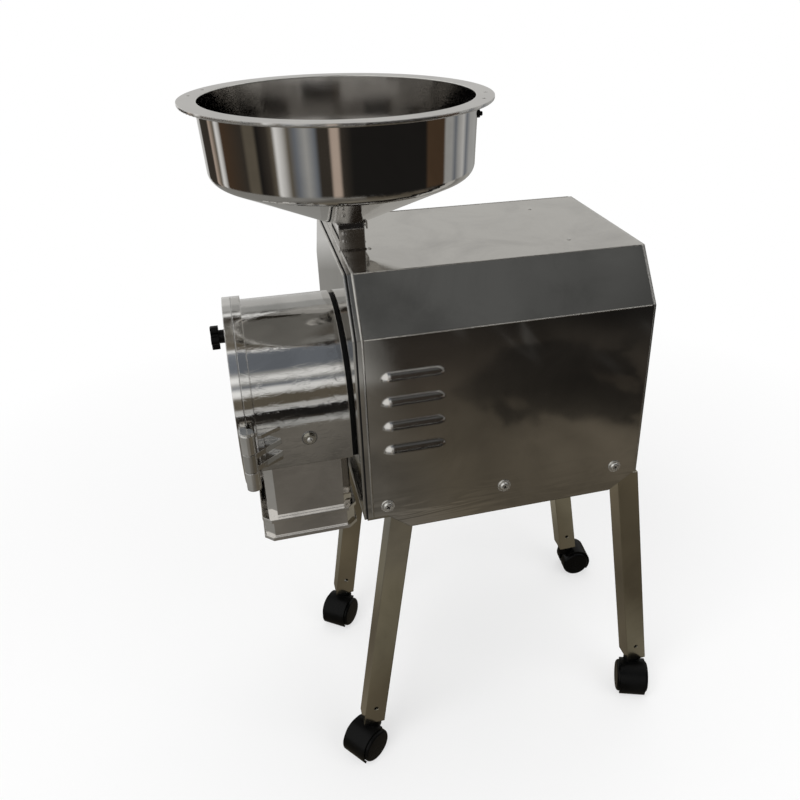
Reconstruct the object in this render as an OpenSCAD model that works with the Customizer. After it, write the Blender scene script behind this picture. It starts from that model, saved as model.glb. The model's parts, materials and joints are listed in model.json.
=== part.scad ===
// Stainless steel hammer mill on casters: bowl hopper, hinged grinding chamber, motor in a sheet housing.
// Frame: +Z up, the chamber door faces -Y, origin on the floor under the middle of the machine.

/* [Housing] */
// Width of the housing across its vertical sides
housing_w = 260; // [250:1:290]
// Width of the flat top between the two sloping shoulders
top_w = 187; // [170:1:210]
// Height from the tray's underside to the flat top
housing_h = 260; // [252:1:300]
// Height of the sloping shoulders
shoulder_h = 52; // [40:1:60]
// Length of the bent cover, front to rear
cover_len = 305; // [290:1:340]
// Front edge of the cover, measured along Y from the origin
cover_front = -117; // [-140:1:-95]
// Thickness of the cover's sheet
sheet_t = 1.5; // [1:0.1:2]
// How far the cover's sides hang below the tray
hem_drop = 16; // [10:1:24]
// Width of the folded hem at the lower edge of each side
hem_w = 12; // [8:1:16]
// Thickness of the front plate
plate_t = 3; // [2:0.5:5]
// Thickness of the rear plate
rear_t = 2; // [1.5:0.5:4]
// Depth of the flange that holds each end plate inside the cover
end_flange = 12; // [8:1:14]
// Thickness of the tray that closes the bottom
tray_t = 3; // [2:0.5:5]
// Height of the tray's upturned sides
tray_side_h = 29; // [24:1:40]

/* [Louvres] */
// Louvres on each side
louvre_n = 4; // [2:1:5]
// Length of one louvre
louvre_len = 68; // [40:1:80]
// Distance between louvres
louvre_pitch = 27.4; // [22:0.1:32]
// Distance from the cover's front edge to the louvres
louvre_y = 19; // [18:1:60]
// Top louvre below the shoulder line
louvre_top = 45; // [34:1:60]
// Radius of the pressed louvre form
louvre_r = 11; // [9:0.5:13]
// How far a louvre stands out of the side
louvre_out = 4.5; // [3:0.5:6]

/* [Legs] */
// Height of the legs, from caster stem to tray
leg_h = 309; // [250:1:360]
// Width of a leg's square tube
leg_w = 25; // [22:1:30]
// Wall of a leg's tube
leg_wall = 1.5; // [1:0.1:2.5]
// Lean of the legs towards the front and the rear, in degrees
leg_lean = 8.5; // [5:0.5:12]
// Middle of the front legs at the tray, behind the cover's front edge
leg_front = 38; // [30:1:60]
// Middle of the rear legs at the tray, ahead of the cover's rear edge
leg_rear = 6; // [0:1:40]
// Thickness of the foot that closes a leg
foot_t = 3; // [2:0.5:5]
// Diameter of the small hole in a leg's side
leg_hole_d = 5; // [3:0.5:8]
// Height of that hole above the foot
leg_hole_z = 24; // [16:1:60]

/* [Casters] */
// Diameter of a caster wheel
wheel_d = 40; // [38:0.5:42]
// Width of one wheel of a caster
wheel_w = 17; // [14:0.5:20]
// Distance from the stem's axis to the wheel's axle
caster_trail = 14; // [12:0.5:16]
// Height from floor to leg
caster_h = 49; // [48:0.5:56]
// Diameter of a wheel's axle
axle_d = 6; // [5:0.5:7]
// Diameter of the stem that a caster turns on
stem_d = 8; // [7:0.5:9]
// Thickness of the hood and of the web between the wheels
hood_t = 2.5; // [2:0.5:3]
// Width of the hood over both wheels
hood_w = 33; // [26:1:36]

/* [Hopper] */
// Inner diameter of the bowl at its rim
bowl_d = 262; // [240:1:290]
// Outer diameter of the bowl's flat flange
bowl_flange_d = 296; // [280:1:320]
// Depth of the bowl's wall, from flange to lower corner
bowl_wall_h = 63; // [50:1:80]
// Narrowing of the bowl's wall on each side
bowl_taper = 3; // [0:0.5:6]
// Height from the housing's top to the bowl's flange
hopper_h = 146; // [140:1:170]
// Thickness of the bowl's sheet
bowl_t = 1.5; // [1:0.1:2]
// Radius between wall and cone
bowl_corner = 10; // [6:1:14]
// Middle of the hopper, behind the cover's front edge
hopper_y = 18; // [17:1:20]
// Diameter of the small holes in the flange
flange_hole_d = 4; // [3:0.5:6]

/* [Feed] */
// Width of the neck across the machine
neck_w = 54; // [48:1:56]
// Depth of the neck, front to rear
neck_d = 26; // [24:1:28]
// Height of the neck, from housing to bowl
neck_h = 29; // [26:1:36]
// Wall of the neck and of the chute
neck_wall = 1.8; // [1.2:0.1:2]
// Thickness of the slide that meters the grain
gate_t = 1.5; // [1.2:0.1:2]
// Travel of the slide
gate_travel = 20; // [16:1:22]
// Height of the window where the chute enters the chamber
window_h = 21; // [16:1:24]

/* [Chamber] */
// Height of the shaft above the tray
shaft_h = 102; // [98:1:108]
// Outer radius of the chamber's round top
drum_r = 97; // [93:0.5:100]
// Wall of the chamber
drum_wall = 7; // [6:0.5:8]
// Depth of the chamber behind its flange
drum_depth = 92.5; // [88:0.5:100]
// Thickness of the chamber's back wall
back_t = 6; // [5:0.5:8]
// Thickness of the chamber's front flange
flange_t = 9; // [7:0.5:11]
// How far flange and door stand out past the round top
flange_out = 4; // [3:0.5:6]
// Straight sides of the chamber below the shaft
skirt_h = 44; // [40:1:48]
// Thickness of the black gasket behind the chamber
gasket_t = 3; // [2:0.5:5]
// Thickness of the toothed liner
liner_t = 5; // [4:0.5:6]
// Teeth on the liner
liner_teeth = 30; // [20:1:36]
// Thickness of the screen
screen_t = 1.5; // [1:0.1:2]
// Diameter of the screen's holes
screen_hole_d = 7; // [4:0.5:8]

/* [Door] */
// Thickness of the door
door_t = 8.7; // [7:0.1:11]
// Thickness of the wear plate inside the door
door_liner_t = 4; // [3:0.5:5]
// Distance from the round top to the hinge's pin
hinge_out = 17; // [15:0.5:20]
// Middle of the hinge below the shaft
hinge_drop = 19; // [16:1:22]
// Length of one hinge knuckle
knuckle_h = 21; // [19:1:25]
// Outer radius of the hinge
knuckle_r = 7; // [6:0.5:8]
// Radius of the hinge's pin
hinge_pin_r = 4; // [3:0.5:4.5]
// Distance from the round top to the clamp knob's axis
knob_out = 12; // [11:0.5:15]
// Height of the clamp knob above the shaft
knob_rise = 16; // [8:1:24]
// Outer radius of the knob
knob_r = 15; // [13:0.5:18]
// Thickness of the knob's head
knob_t = 9; // [7:0.5:12]
// Radius of the clamp screw
clamp_r = 4; // [3:0.5:4.5]

/* [Outlet] */
// Height of the outlet
spout_h = 90; // [80:1:110]
// Half width of the outlet
spout_half = 95; // [88:0.5:96]
// Wall of the outlet
spout_wall = 2; // [1.5:0.1:2.5]
// Cut of the outlet's upright corners
spout_cut = 9; // [5:0.5:14]
// How far the lip round the outlet's mouth stands out
lip_out = 2; // [1:0.5:3]
// Height of the lip
lip_h = 28; // [18:1:30]
// How far the two beads that hold a bag stand out of the lip
bead_out = 2; // [1:0.5:3]
// Height of a bead
bead_h = 4; // [3:0.5:6]

/* [Rotor] */
// Radius of the shaft
shaft_r = 12; // [10:0.5:13]
// Radius of the rotor's hub
hub_r = 20; // [18:0.5:21]
// Length of a hammer from its pin to its tip
hammer_len = 34; // [30:0.5:36]
// Width of a hammer
hammer_w = 18; // [16:0.5:20]
// Thickness of a hammer
hammer_t = 8; // [5:0.5:10]
// Radius of a hammer's pin
hammer_pin_r = 5; // [4:0.5:6]
// Gap between the hammers' tips and the screen
tip_gap = 4; // [3:0.5:6]

/* [Motor] */
// Outer radius of the motor's frame
motor_r = 72; // [68:1:76]
// Length of the motor's frame
motor_len = 147; // [130:1:160]
// Radius of the stator's bore
stator_r = 46; // [40:1:50]
// Cooling ribs round the frame
motor_ribs = 24; // [16:1:32]
// Radius of the bearings
bearing_r = 26; // [24:0.5:28]
// Blades of the cooling fan
fan_blades = 7; // [5:1:9]

/* [Clearances] */
// Gap between flat pieces that lie together
seat_gap = 0.3; // [0.2:0.05:0.4]
// Gap round a turning pin or shaft
run_gap = 0.05; // [0.03:0.01:0.09]
// Gap round a piece that is fixed in its hole
fix_gap = 0.03; // [0.02:0.01:0.05]
// Gap round a bolt in its hole
bolt_gap = 0.3; // [0.2:0.05:0.5]

/* [Hidden] */
$fn = 64;
eps = 0.01;

// Heights, from the floor up
tray_z = caster_h + leg_h;
tray_top = tray_z + tray_t;
hem_z = tray_z - hem_drop;
cover_top = tray_z + housing_h;
shoulder_z = cover_top - shoulder_h;
plate_z = tray_top + seat_gap;
axis_z = tray_top + shaft_h;
bowl_base_z = cover_top + neck_h;
bowl_rim_z = cover_top + hopper_h;

// Places along Y, from the door to the rear plate
cover_rear = cover_front + cover_len;
plate_front = cover_front - plate_t;
drum_rear = plate_front - gasket_t;
drum_front = drum_rear - drum_depth;
flange_front = drum_front - flange_t;
door_rear = flange_front - seat_gap;
door_front = door_rear - door_t;
neck_mid = cover_front + hopper_y;

// Section of the housing
half_w = housing_w / 2;
half_top = top_w / 2;
shoulder_run = half_w - half_top;
shoulder_len = sqrt(shoulder_run * shoulder_run + shoulder_h * shoulder_h);
shoulder_nx = shoulder_h / shoulder_len;
shoulder_nz = shoulder_run / shoulder_len;

// Screws through the sides into the tray
screw_front = 22;
screw_mid = 0.49;
screw_rear = 26;
screw_ys = [cover_front + screw_front, cover_front + cover_len * screw_mid, cover_rear - screw_rear];
screw_z = tray_z + 16;
screw_r = 2.5;
screw_head_r = 5;
screw_head_h = 3.2;
screw_round = 2;
screw_len = 7;

// M8 bolts of chamber and motor
bolt_r = 4;
bolt_head_r = 7.4;
bolt_head_h = 5.3;
bolt_nut_h = 6.5;
washer_grow = 1.15;
washer_t = 1;

// M6 bolts in the chamber's sides
side_bolt_r = 3;
side_head_r = 5.8;
side_head_h = 4;

// Corner cuts in the cover's sides, where the legs come out
notch_flat = leg_front - leg_w / 2 - 4;
notch_run = leg_w;
notch_z = tray_top + seat_gap;

// Legs and casters: side, end, and the way each caster happens to point
corners = [[1, -1, -53], [-1, -1, -37], [1, 1, -21], [-1, 1, 85]];
leg_x = half_w - sheet_t - seat_gap - leg_w / 2 - 1.2;
leg_ys = [cover_front + leg_front, cover_rear - leg_rear];
leg_shift = leg_h * tan(leg_lean);
foot_y = [leg_ys[0] - leg_shift, leg_ys[1] + leg_shift];
wheel_r = wheel_d / 2;
wheel_gap = 0.8;
axle_r = axle_d / 2;
stem_r = stem_d / 2;
stud_r = 5;
web_half = hood_t;
wheel_in = web_half + wheel_gap;
wheel_edge = 4;
axle_half = wheel_in + wheel_w - wheel_edge;
hood_in = wheel_r + wheel_gap;
hood_from = -35;
hood_span = 160;
boss_r = 10.5;
boss_top = caster_h - 5;
boss_floor = 3;
stem_low = wheel_r + sqrt(pow(wheel_r, 2) - pow(caster_trail - stem_r - seat_gap, 2)) + seat_gap;
stem_hex_r = 9;
stud_out = 10;
stud_nut_r = 8;
stud_nut_h = 6;
axle_boss = 4;
wheel_hub = 0.45;

// Hopper and feed
neck_half_w = neck_w / 2;
neck_half_d = neck_d / 2;
neck_in_w = neck_half_w - neck_wall;
neck_in_d = neck_half_d - neck_wall;
neck_rim = 1.5;
neck_rim_t = 1.5;
gate_z = bowl_base_z - 5.5;
gate_tab = 6;
gate_tab_h = 8;
gate_tab_w = 20;
gate_tab_gap = 1.5;
bowl_r = bowl_d / 2;
bowl_low_r = bowl_r - bowl_taper;
bowl_low_z = bowl_rim_z - bowl_wall_h;
bowl_foot_r = norm([neck_half_w, neck_half_d]) + 1;
rivet_r = 2;
rivet_h = 1.2;
flange_pairs = [70, 250];
flange_pair_half = 7.6;
flange_hole_in = 8;
chute_lip = 5;
chute_lip_t = 1.5;
chute_side = 5;
chute_knee = 28;
rivet_zs = [9, 17];
rivet_in = 5;

// Chamber
drum_in = drum_r - drum_wall;
flange_r = drum_r + flange_out;
skirt_z = axis_z - skirt_h;
back_front = drum_rear - back_t;
window_top = axis_z + drum_in - 5;
window_low = window_top - window_h;
seal_r = shaft_r + 8;
seal_room = 10;
gasket_in = 3;
liner_out = drum_in - seat_gap;
liner_in = liner_out - liner_t;
liner_front = drum_front + 2;
liner_rear = back_front - seat_gap;
screen_out = liner_in + screen_t;
ledge_t = drum_in - screen_out - seat_gap;
ledge_h = 6;
ledge_z = axis_z - screen_t - 2 * seat_gap;
mount_in = 18;
mount_r = drum_in - mount_in;
mount_angles = [25, 155, 205, 335];
side_bolt_drop = 13;
side_bolt_z = axis_z - side_bolt_drop;
spout_front = drum_front + 2 * seat_gap;
spout_rear = drum_rear - 4;
screen_front = spout_front + spout_wall + seat_gap;
screen_rear = min(liner_rear, spout_rear - spout_wall - seat_gap);
screen_edge = 5;
screen_punch = 5;
lip_front = drum_front - flange_t / 2;
side_bolt_back = 4;
side_bolt_y = (drum_front + drum_rear) / 2 + side_bolt_back;

// Door, hinge and clamp
bracket_root = 24;
arm_t = 6;
gusset_t = 4;
gusset_out = 12;
gusset_up = 10;
hinge_x = drum_r + hinge_out;
hinge_y = flange_front;
hinge_z = axis_z - hinge_drop;
hinge_low = hinge_z - 1.5 * knuckle_h;
clamp_x = -(drum_r + knob_out);
clamp_z = axis_z + knob_rise;
clamp_lug_r = 12;
clamp_lug_in = knob_out + 8;
clamp_boss_r = clamp_r + 5;
knob_cap = 3;
clamp_boss = 5.5;
knob_neck = 6;
knob_lobes = 5;
clamp_tip = drum_front - 2.5;
clamp_hole_r = clamp_r + 1.5;

// Rotor
pin_head = 2;
pin_bay = 6;
disc_land = 5;
hub_rear = 8;
tip_r = liner_in - tip_gap;
pin_circle = tip_r - hammer_len;
disc_r = pin_circle + hammer_pin_r + disc_land;
disc_t = 4;
rotor_front = drum_front + 8.5;
rotor_rear = back_front - 16;
hammer_bays = [rotor_front + disc_t + pin_bay, rotor_rear - disc_t - pin_bay - hammer_t];
hammer_angles = [45, 135, 225, 315];
nut_h = 8;
nut_r = shaft_r + 5;
nut_room = nut_r + 8;
liner_gap = 2;

// Motor
motor_front = cover_front + 33;
motor_rear = motor_front + motor_len;
bell_len = 20;
bell_wall = 4;
bell_r = 60;
rib_h = 3;
rail_h = 12;
rail_half = 85;
rail_w = 20;
foot_half = 78;
foot_pad_w = 24;
foot_pad_t = 8;
foot_rib = [39, 50];
foot_rib_w = 22;
foot_rib_top = axis_z - 45;
foot_at = [42, 102];
foot_ys = [motor_front + foot_at[0], motor_front + foot_at[1]];
foot_x = 66;
rotor_air = 0.5;
rotor_inset = 22;
fan_front = motor_rear + bell_len + 6;
fan_len = 18;
fan_r = 58;
cowl_r = 70;
cowl_t = 2;
cowl_rear = fan_front + fan_len + 8;
shaft_front = rotor_front - nut_h - 1;
shaft_rear = fan_front + fan_len;

// Rear fittings
switch_x = 62;
switch_up = 70;
switch_z = axis_z + switch_up;
gland_x = -70;
gland_up = 42;
gland_z = tray_top + gland_up;
gland_r = 10;
gland_bore = 4.5;
gland_thread = gland_r - 2;
gland_hex = gland_r + 2;
gland_hex_h = 6;
gland_out = 14;
gland_in = 9;
bezel_w = 16;
bezel_h = 20;
bezel_t = 2.5;
box_w = 12.5;
box_h = 16.5;
box_depth = 26;
pocket_w = 9;
pocket_h = 13.5;
pocket_depth = 14;
rocker_in = 4;
rocker_tilt = 8;
rocker_hub = 5;
rocker_side = [[-2, -10], [5, -10.5], [7, 0], [5, 10.5], [-2, 10], [-5, 0]];
can_side = 55;
can_rear = 45;
can_x = half_w - can_side;
can_y = cover_rear - can_rear;
can_r = 20;
can_h = 78;
can_clamp_r = 22;
can_clamp_h = 12;
tag_half = 7;
tag_size = [1, 6, 8];

// Helpers

// Extrudes an XZ outline from y0 to y1
module along_y(y0, y1) {
    translate([0, y1, 0])
        rotate([90, 0, 0])
            linear_extrude(y1 - y0)
                children();
}

// Extrudes a YZ outline from x0 to x1
module along_x(x0, x1) {
    translate([x0, 0, 0])
        rotate([90, 0, 90])
            linear_extrude(x1 - x0)
                children();
}

// Cylinder along Y from y0 to y1
module rod_y(r, y0, y1, fn = 64) {
    translate([0, y0, 0])
        rotate([-90, 0, 0])
            cylinder(r = r, h = y1 - y0, $fn = fn);
}

// Ring along Y from y0 to y1
module ring_y(r_out, r_in, y0, y1) {
    difference() {
        rod_y(r_out, y0, y1);
        rod_y(r_in, y0 - 1, y1 + 1);
    }
}

// Box between two corners
module block(low, high) {
    translate(low)
        cube(high - low);
}

// Moves its children to the shaft's axis
module on_axis() {
    translate([0, 0, axis_z])
        children();
}

// Outline of the housing's section, moved inwards by d, down to height low
function housing_points(d, low) =
    let (side_z = shoulder_z - d * (1 - shoulder_nx) / shoulder_nz,
         top_x = half_top - d * (1 - shoulder_nz) / shoulder_nx)
    [[half_w - d, low], [half_w - d, side_z], [top_x, cover_top - d],
     [-top_x, cover_top - d], [d - half_w, side_z], [d - half_w, low]];

// Points of an arc of radius r about a middle, from one angle to another
function arc(mid, r, from, to, steps = 8) =
    [for (i = [0:steps]) mid + r * [cos(from + (to - from) * i / steps),
                                    sin(from + (to - from) * i / steps)]];

// Hexagon bolt along +Z with its head's seat at z = 0
module hex_bolt(r, length, head_r, head_h) {
    translate([0, 0, -length])
        cylinder(r = r, h = length + eps);
    cylinder(r = head_r, h = head_h, $fn = 6);
    cylinder(r = head_r * washer_grow, h = washer_t);
}

// Sheet metal housing

// Pressed louvre form on the +X side with its mouth at z = 0; a solid, to add or to cut
module louvre_form(r) {
    y0 = cover_front + louvre_y + louvre_r;
    y1 = y0 + louvre_len - 2 * louvre_r;
    intersection() {
        translate([half_w + louvre_out - louvre_r, 0, 0]) {
            rod_y(r, y0, y1);
            for (y = [y0, y1]) {
                translate([0, y, 0])
                    sphere(r = r);
            }
        }
        block([half_w - sheet_t - 1, y0 - 2 * louvre_r, 0],
              [half_w + 2 * louvre_r, y1 + 2 * louvre_r, 2 * louvre_r]);
    }
}

// Repeats its children at every louvre of both sides
module each_louvre() {
    for (side = [0, 1], i = [0:louvre_n - 1]) {
        mirror([side, 0, 0])
            translate([0, 0, shoulder_z - louvre_top - i * louvre_pitch])
                children();
    }
}

// Cuts at the lower corners of both sides
module corner_cuts() {
    along_x(-half_w - 1, half_w + 1) {
        polygon([[cover_front - 1, hem_z - 1], [cover_front - 1, notch_z],
                 [cover_front + notch_flat, notch_z], [cover_front + notch_flat + notch_run, hem_z - 1]]);
        polygon([[cover_rear + 1, hem_z - 1], [cover_rear + 1, notch_z], [cover_rear - 2, notch_z],
                 [leg_ys[1] - leg_w, hem_z - 1]]);
    }
}

// Holes for the screws through cover and tray
module screw_holes() {
    for (y = screw_ys) {
        translate([-half_w - 1, y, screw_z])
            rotate([0, 90, 0])
                cylinder(r = screw_r + bolt_gap, h = housing_w + 2);
    }
}

module housing_cover() {
    hem_y0 = cover_front + notch_flat + notch_run + 4;
    hem_y1 = leg_ys[1] - leg_w - 4;
    color("silver")
        difference() {
            union() {
                difference() {
                    along_y(cover_front, cover_rear)
                        difference() {
                            polygon(housing_points(0, hem_z));
                            polygon(housing_points(sheet_t, hem_z - 1));
                        }
                    corner_cuts();
                }
                for (side = [0, 1]) {
                    mirror([side, 0, 0])
                        block([half_w - hem_w, hem_y0, hem_z],
                              [half_w - sheet_t / 2, hem_y1, hem_z + sheet_t]);
                }
                each_louvre()
                    louvre_form(louvre_r);
            }
            each_louvre()
                louvre_form(louvre_r - sheet_t);
            screw_holes();
            block([-neck_in_w, neck_mid - neck_in_d, cover_top - 2 * sheet_t],
                  [neck_in_w, neck_mid + neck_in_d, cover_top + 1]);
        }
}

// End plate with a flange that fits inside the cover; the flange runs from the plate to y_in
module end_plate(y0, y1, flange0, flange1) {
    fit = sheet_t + seat_gap;
    along_y(y0, y1)
        polygon(housing_points(0, plate_z));
    along_y(flange0, flange1)
        difference() {
            polygon(housing_points(fit, plate_z));
            polygon(housing_points(fit + sheet_t, plate_z + sheet_t));
        }
}

module front_plate() {
    chute_room = neck_half_w + chute_lip + chute_side;
    color("silver")
        difference() {
            end_plate(plate_front, cover_front, cover_front - eps, cover_front + end_flange);
            on_axis()
                rod_y(seal_r + seal_room, plate_front - 1, cover_front + 1);
            on_axis()
                mount_holes(plate_front - 1, cover_front + 1);
            chute_passage(plate_front - 1, cover_front + 1);
            block([-chute_room, cover_front + eps, cover_top - shoulder_h],
                  [chute_room, cover_front + end_flange + 1, cover_top]);
        }
}

module rear_plate() {
    slot_len = 50;
    slot_h = 5;
    slot_n = 6;
    slot_x = -45;
    slot_low = axis_z - 25;
    slot_pitch = 12;
    color("silver")
        difference() {
            end_plate(cover_rear, cover_rear + rear_t, cover_rear - end_flange, cover_rear + eps);
            for (i = [0:slot_n - 1]) {
                translate([slot_x, 0, slot_low + i * slot_pitch])
                    along_y(cover_rear - 1, cover_rear + rear_t + 1) {
                        square([slot_len, slot_h]);
                        for (x = [0, slot_len]) {
                            translate([x, slot_h / 2])
                                circle(d = slot_h);
                        }
                    }
            }
            translate([gland_x, 0, gland_z])
                rod_y(gland_thread + bolt_gap, cover_rear - 1, cover_rear + rear_t + 1);
            translate([switch_x, 0, switch_z])
                block([-box_w - bolt_gap, cover_rear - 1, -box_h - bolt_gap],
                      [box_w + bolt_gap, cover_rear + rear_t + 1, box_h + bolt_gap]);
        }
}

module base_tray() {
    tray_half = half_w - sheet_t - seat_gap;
    side_y0 = cover_front + end_flange + 2;
    side_y1 = cover_rear - end_flange - 2;
    color("gray")
        difference() {
            union() {
                block([-tray_half, cover_front + seat_gap, tray_z],
                      [tray_half, cover_rear - seat_gap, tray_top]);
                for (side = [0, 1]) {
                    mirror([side, 0, 0])
                        block([tray_half - tray_t, side_y0, tray_z],
                              [tray_half, side_y1, tray_z + tray_side_h]);
                }
                for (y = foot_ys) {
                    block([-rail_half, y - rail_w / 2, tray_top - eps],
                          [rail_half, y + rail_w / 2, tray_top + rail_h]);
                }
            }
            screw_holes();
            motor_bolt_places()
                cylinder(r = bolt_r + bolt_gap, h = 4 * rail_h, center = true);
        }
}

// Pan head screws that hold the cover's sides to the tray
module panel_screws() {
    round_mid = [screw_head_r - screw_round, screw_head_h - screw_round];
    color("lightgray")
        for (side = [0, 1], y = screw_ys) {
            mirror([side, 0, 0])
                translate([half_w, y, screw_z])
                    rotate([0, 90, 0]) {
                        translate([0, 0, -screw_len])
                            cylinder(r = screw_r, h = screw_len + eps);
                        rotate_extrude()
                            polygon(concat([[0, 0], [screw_head_r, 0]], arc(round_mid, screw_round, 0, 90),
                                           [[0, screw_head_h]]));
                    }
        }
}

// Legs and casters

// Leaning square tube of a leg, wider or narrower by grow on each side
module leg_prism(end, grow) {
    w = leg_w + 2 * grow;
    rotate([end * leg_lean, 0, 0])
        translate([-w / 2, -w / 2, -2 * leg_h])
            cube([w, w, 3 * leg_h]);
}

module leg(corner) {
    end = corner[1];
    top_y = end < 0 ? leg_ys[0] : leg_ys[1];
    low_y = end < 0 ? foot_y[0] : foot_y[1];
    color("darkgray")
        difference() {
            intersection() {
                translate([corner[0] * leg_x, top_y, tray_z])
                    leg_prism(end, 0);
                block([-half_w, cover_front - 2 * leg_h, caster_h],
                      [half_w, cover_rear + 2 * leg_h, tray_z]);
            }
            intersection() {
                translate([corner[0] * leg_x, top_y, tray_z])
                    leg_prism(end, -leg_wall);
                block([-half_w, cover_front - 2 * leg_h, caster_h + foot_t],
                      [half_w, cover_rear + 2 * leg_h, tray_z + 1]);
            }
            translate([corner[0] * leg_x, low_y, caster_h - 1])
                cylinder(r = stud_r + fix_gap, h = foot_t + 2);
            translate([corner[0] * leg_x - leg_w, low_y - end * leg_hole_z * tan(leg_lean),
                       caster_h + leg_hole_z])
                rotate([0, 90, 0])
                    cylinder(d = leg_hole_d, h = 2 * leg_w);
        }
}

// Places its children under a leg, turned the way that caster points
module at_caster(corner) {
    translate([corner[0] * leg_x, corner[1] < 0 ? foot_y[0] : foot_y[1], 0])
        rotate([0, 0, corner[2]])
            children();
}

// Stem under each leg: pin for the caster, collar, stud through the foot and its nut
module caster_stems() {
    color("lightgray")
        for (corner = corners) {
            at_caster(corner) {
                translate([0, 0, stem_low])
                    cylinder(r = stem_r, h = caster_h - stem_low);
                translate([0, 0, boss_top + seat_gap])
                    cylinder(r = stem_hex_r, h = caster_h - boss_top - seat_gap, $fn = 6);
                translate([0, 0, caster_h - eps])
                    cylinder(r = stud_r, h = foot_t + stud_out);
                translate([0, 0, caster_h + foot_t])
                    cylinder(r = stud_nut_r, h = stud_nut_h, $fn = 6);
            }
        }
}

// Sector of a disc about the axle, from the hood's lower edge over the top, between two widths
module hood_sector(r, half) {
    far = 2 * r;
    translate([caster_trail, half, wheel_r])
        rotate([90, 0, 0])
            linear_extrude(2 * half)
                intersection() {
                    circle(r = r);
                    polygon(concat([[0, 0]], arc([0, 0], far, hood_from, hood_from + hood_span)));
                }
}

// Cylinder on the axle's line between two distances from the caster's middle
module on_axle(r, from, to) {
    translate([caster_trail, from, wheel_r])
        rotate([-90, 0, 0])
            cylinder(r = r, h = to - from);
}

// Hood with web, stem boss and axle
module caster_hood(corner) {
    color("black")
        at_caster(corner) {
            difference() {
                union() {
                    difference() {
                        hood_sector(hood_in + hood_t, hood_w / 2);
                        on_axle(hood_in, -hood_w, hood_w);
                    }
                    hood_sector(hood_in + hood_t / 2, web_half);
                    on_axle(axle_r + axle_boss, -web_half, web_half);
                    translate([0, 0, stem_low - boss_floor])
                        cylinder(r = boss_r, h = boss_top - stem_low + boss_floor);
                }
                for (side = [0, 1]) {
                    mirror([0, side, 0])
                        on_axle(wheel_r + wheel_gap / 2, web_half + seat_gap, 2 * wheel_w);
                }
                translate([0, 0, stem_low - seat_gap])
                    cylinder(r = stem_r + run_gap, h = caster_h);
            }
            on_axle(axle_r, -axle_half, axle_half);
        }
}

// One wheel of a caster, on its own side of the web
module caster_wheel(corner, side) {
    out = wheel_in + wheel_w;
    color("black")
        at_caster(corner)
            translate([caster_trail, 0, wheel_r])
                rotate([side * -90, 0, 0])
                    rotate_extrude()
                        polygon(concat([[axle_r + run_gap, wheel_in], [wheel_r - 1, wheel_in],
                                        [wheel_r, wheel_in + 1]],
                                       arc([wheel_r - wheel_edge, out - wheel_edge], wheel_edge, 0, 70),
                                       [[wheel_r * wheel_hub, out], [0, out], [0, axle_half + seat_gap],
                                        [axle_r + run_gap, axle_half + seat_gap]]));
}

// Hopper and feed

module hopper_bowl() {
    corner_mid = [bowl_low_r - bowl_corner, bowl_low_z];
    cone_angle = atan2(bowl_low_z - bowl_corner - bowl_base_z, bowl_low_r - bowl_foot_r);
    inner = concat([[bowl_r, bowl_rim_z]], arc(corner_mid, bowl_corner, 0, cone_angle - 90),
                   [[bowl_foot_r, bowl_base_z + bowl_t], [0, bowl_base_z + bowl_t]]);
    outer = concat([[0, bowl_base_z], [bowl_foot_r, bowl_base_z]],
                   arc(corner_mid, bowl_corner + bowl_t, cone_angle - 90, 0),
                   [[bowl_r + bowl_t, bowl_rim_z - bowl_t], [bowl_flange_d / 2, bowl_rim_z - bowl_t]]);
    bead_r = 1.8;
    color("gainsboro")
        translate([0, neck_mid, 0])
            difference() {
                union() {
                    rotate_extrude($fn = 128)
                        polygon(concat(inner, outer, [[bowl_flange_d / 2, bowl_rim_z]]));
                    rotate_extrude($fn = 128)
                        translate([bowl_flange_d / 2 - bead_r, bowl_rim_z - bead_r])
                            circle(r = bead_r);
                }
                block([-neck_in_w, -neck_in_d, bowl_base_z - 1], [neck_in_w, neck_in_d, bowl_low_z]);
                for (a = flange_pairs, turn = [-flange_pair_half, flange_pair_half]) {
                    rotate([0, 0, a + turn])
                        translate([bowl_flange_d / 2 - flange_hole_in, 0, bowl_rim_z - 10])
                            cylinder(d = flange_hole_d, h = 20);
                }
            }
}

// Square neck between housing and bowl, with a rim on top, a slot for the slide and four rivets
module neck_collar() {
    color("gainsboro")
        translate([0, neck_mid, 0]) {
            difference() {
                union() {
                    block([-neck_half_w, -neck_half_d, cover_top], [neck_half_w, neck_half_d, bowl_base_z]);
                    block([-neck_half_w - neck_rim, -neck_half_d - neck_rim, bowl_base_z - neck_rim_t],
                          [neck_half_w + neck_rim, neck_half_d + neck_rim, bowl_base_z]);
                }
                block([-neck_in_w, -neck_in_d, cover_top - 1], [neck_in_w, neck_in_d, bowl_base_z + 1]);
                block([-neck_in_w, 0, gate_z - seat_gap], [neck_in_w, neck_d, gate_z + gate_t + seat_gap]);
            }
            for (side = [0, 1], z = rivet_zs) {
                mirror([side, 0, 0])
                    translate([neck_half_w - eps, -neck_half_d + rivet_in, cover_top + z])
                        rotate([0, 90, 0])
                            cylinder(r = rivet_r, h = rivet_h);
            }
        }
}

// Slide that opens and closes the neck, with a turned-down tab at the rear
module feed_gate() {
    tab_y = neck_half_d + gate_tab;
    color("silver")
        translate([0, neck_mid, 0]) {
            block([-neck_in_w + seat_gap, -neck_in_d + seat_gap, gate_z],
                  [neck_in_w - seat_gap, neck_half_d + gate_tab_gap, gate_z + gate_t]);
            block([-gate_tab_w / 2, 0, gate_z], [gate_tab_w / 2, tab_y, gate_z + gate_t]);
            block([-gate_tab_w / 2, tab_y - gate_t, gate_z - gate_tab_h],
                  [gate_tab_w / 2, tab_y, gate_z + gate_t]);
        }
}

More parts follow.
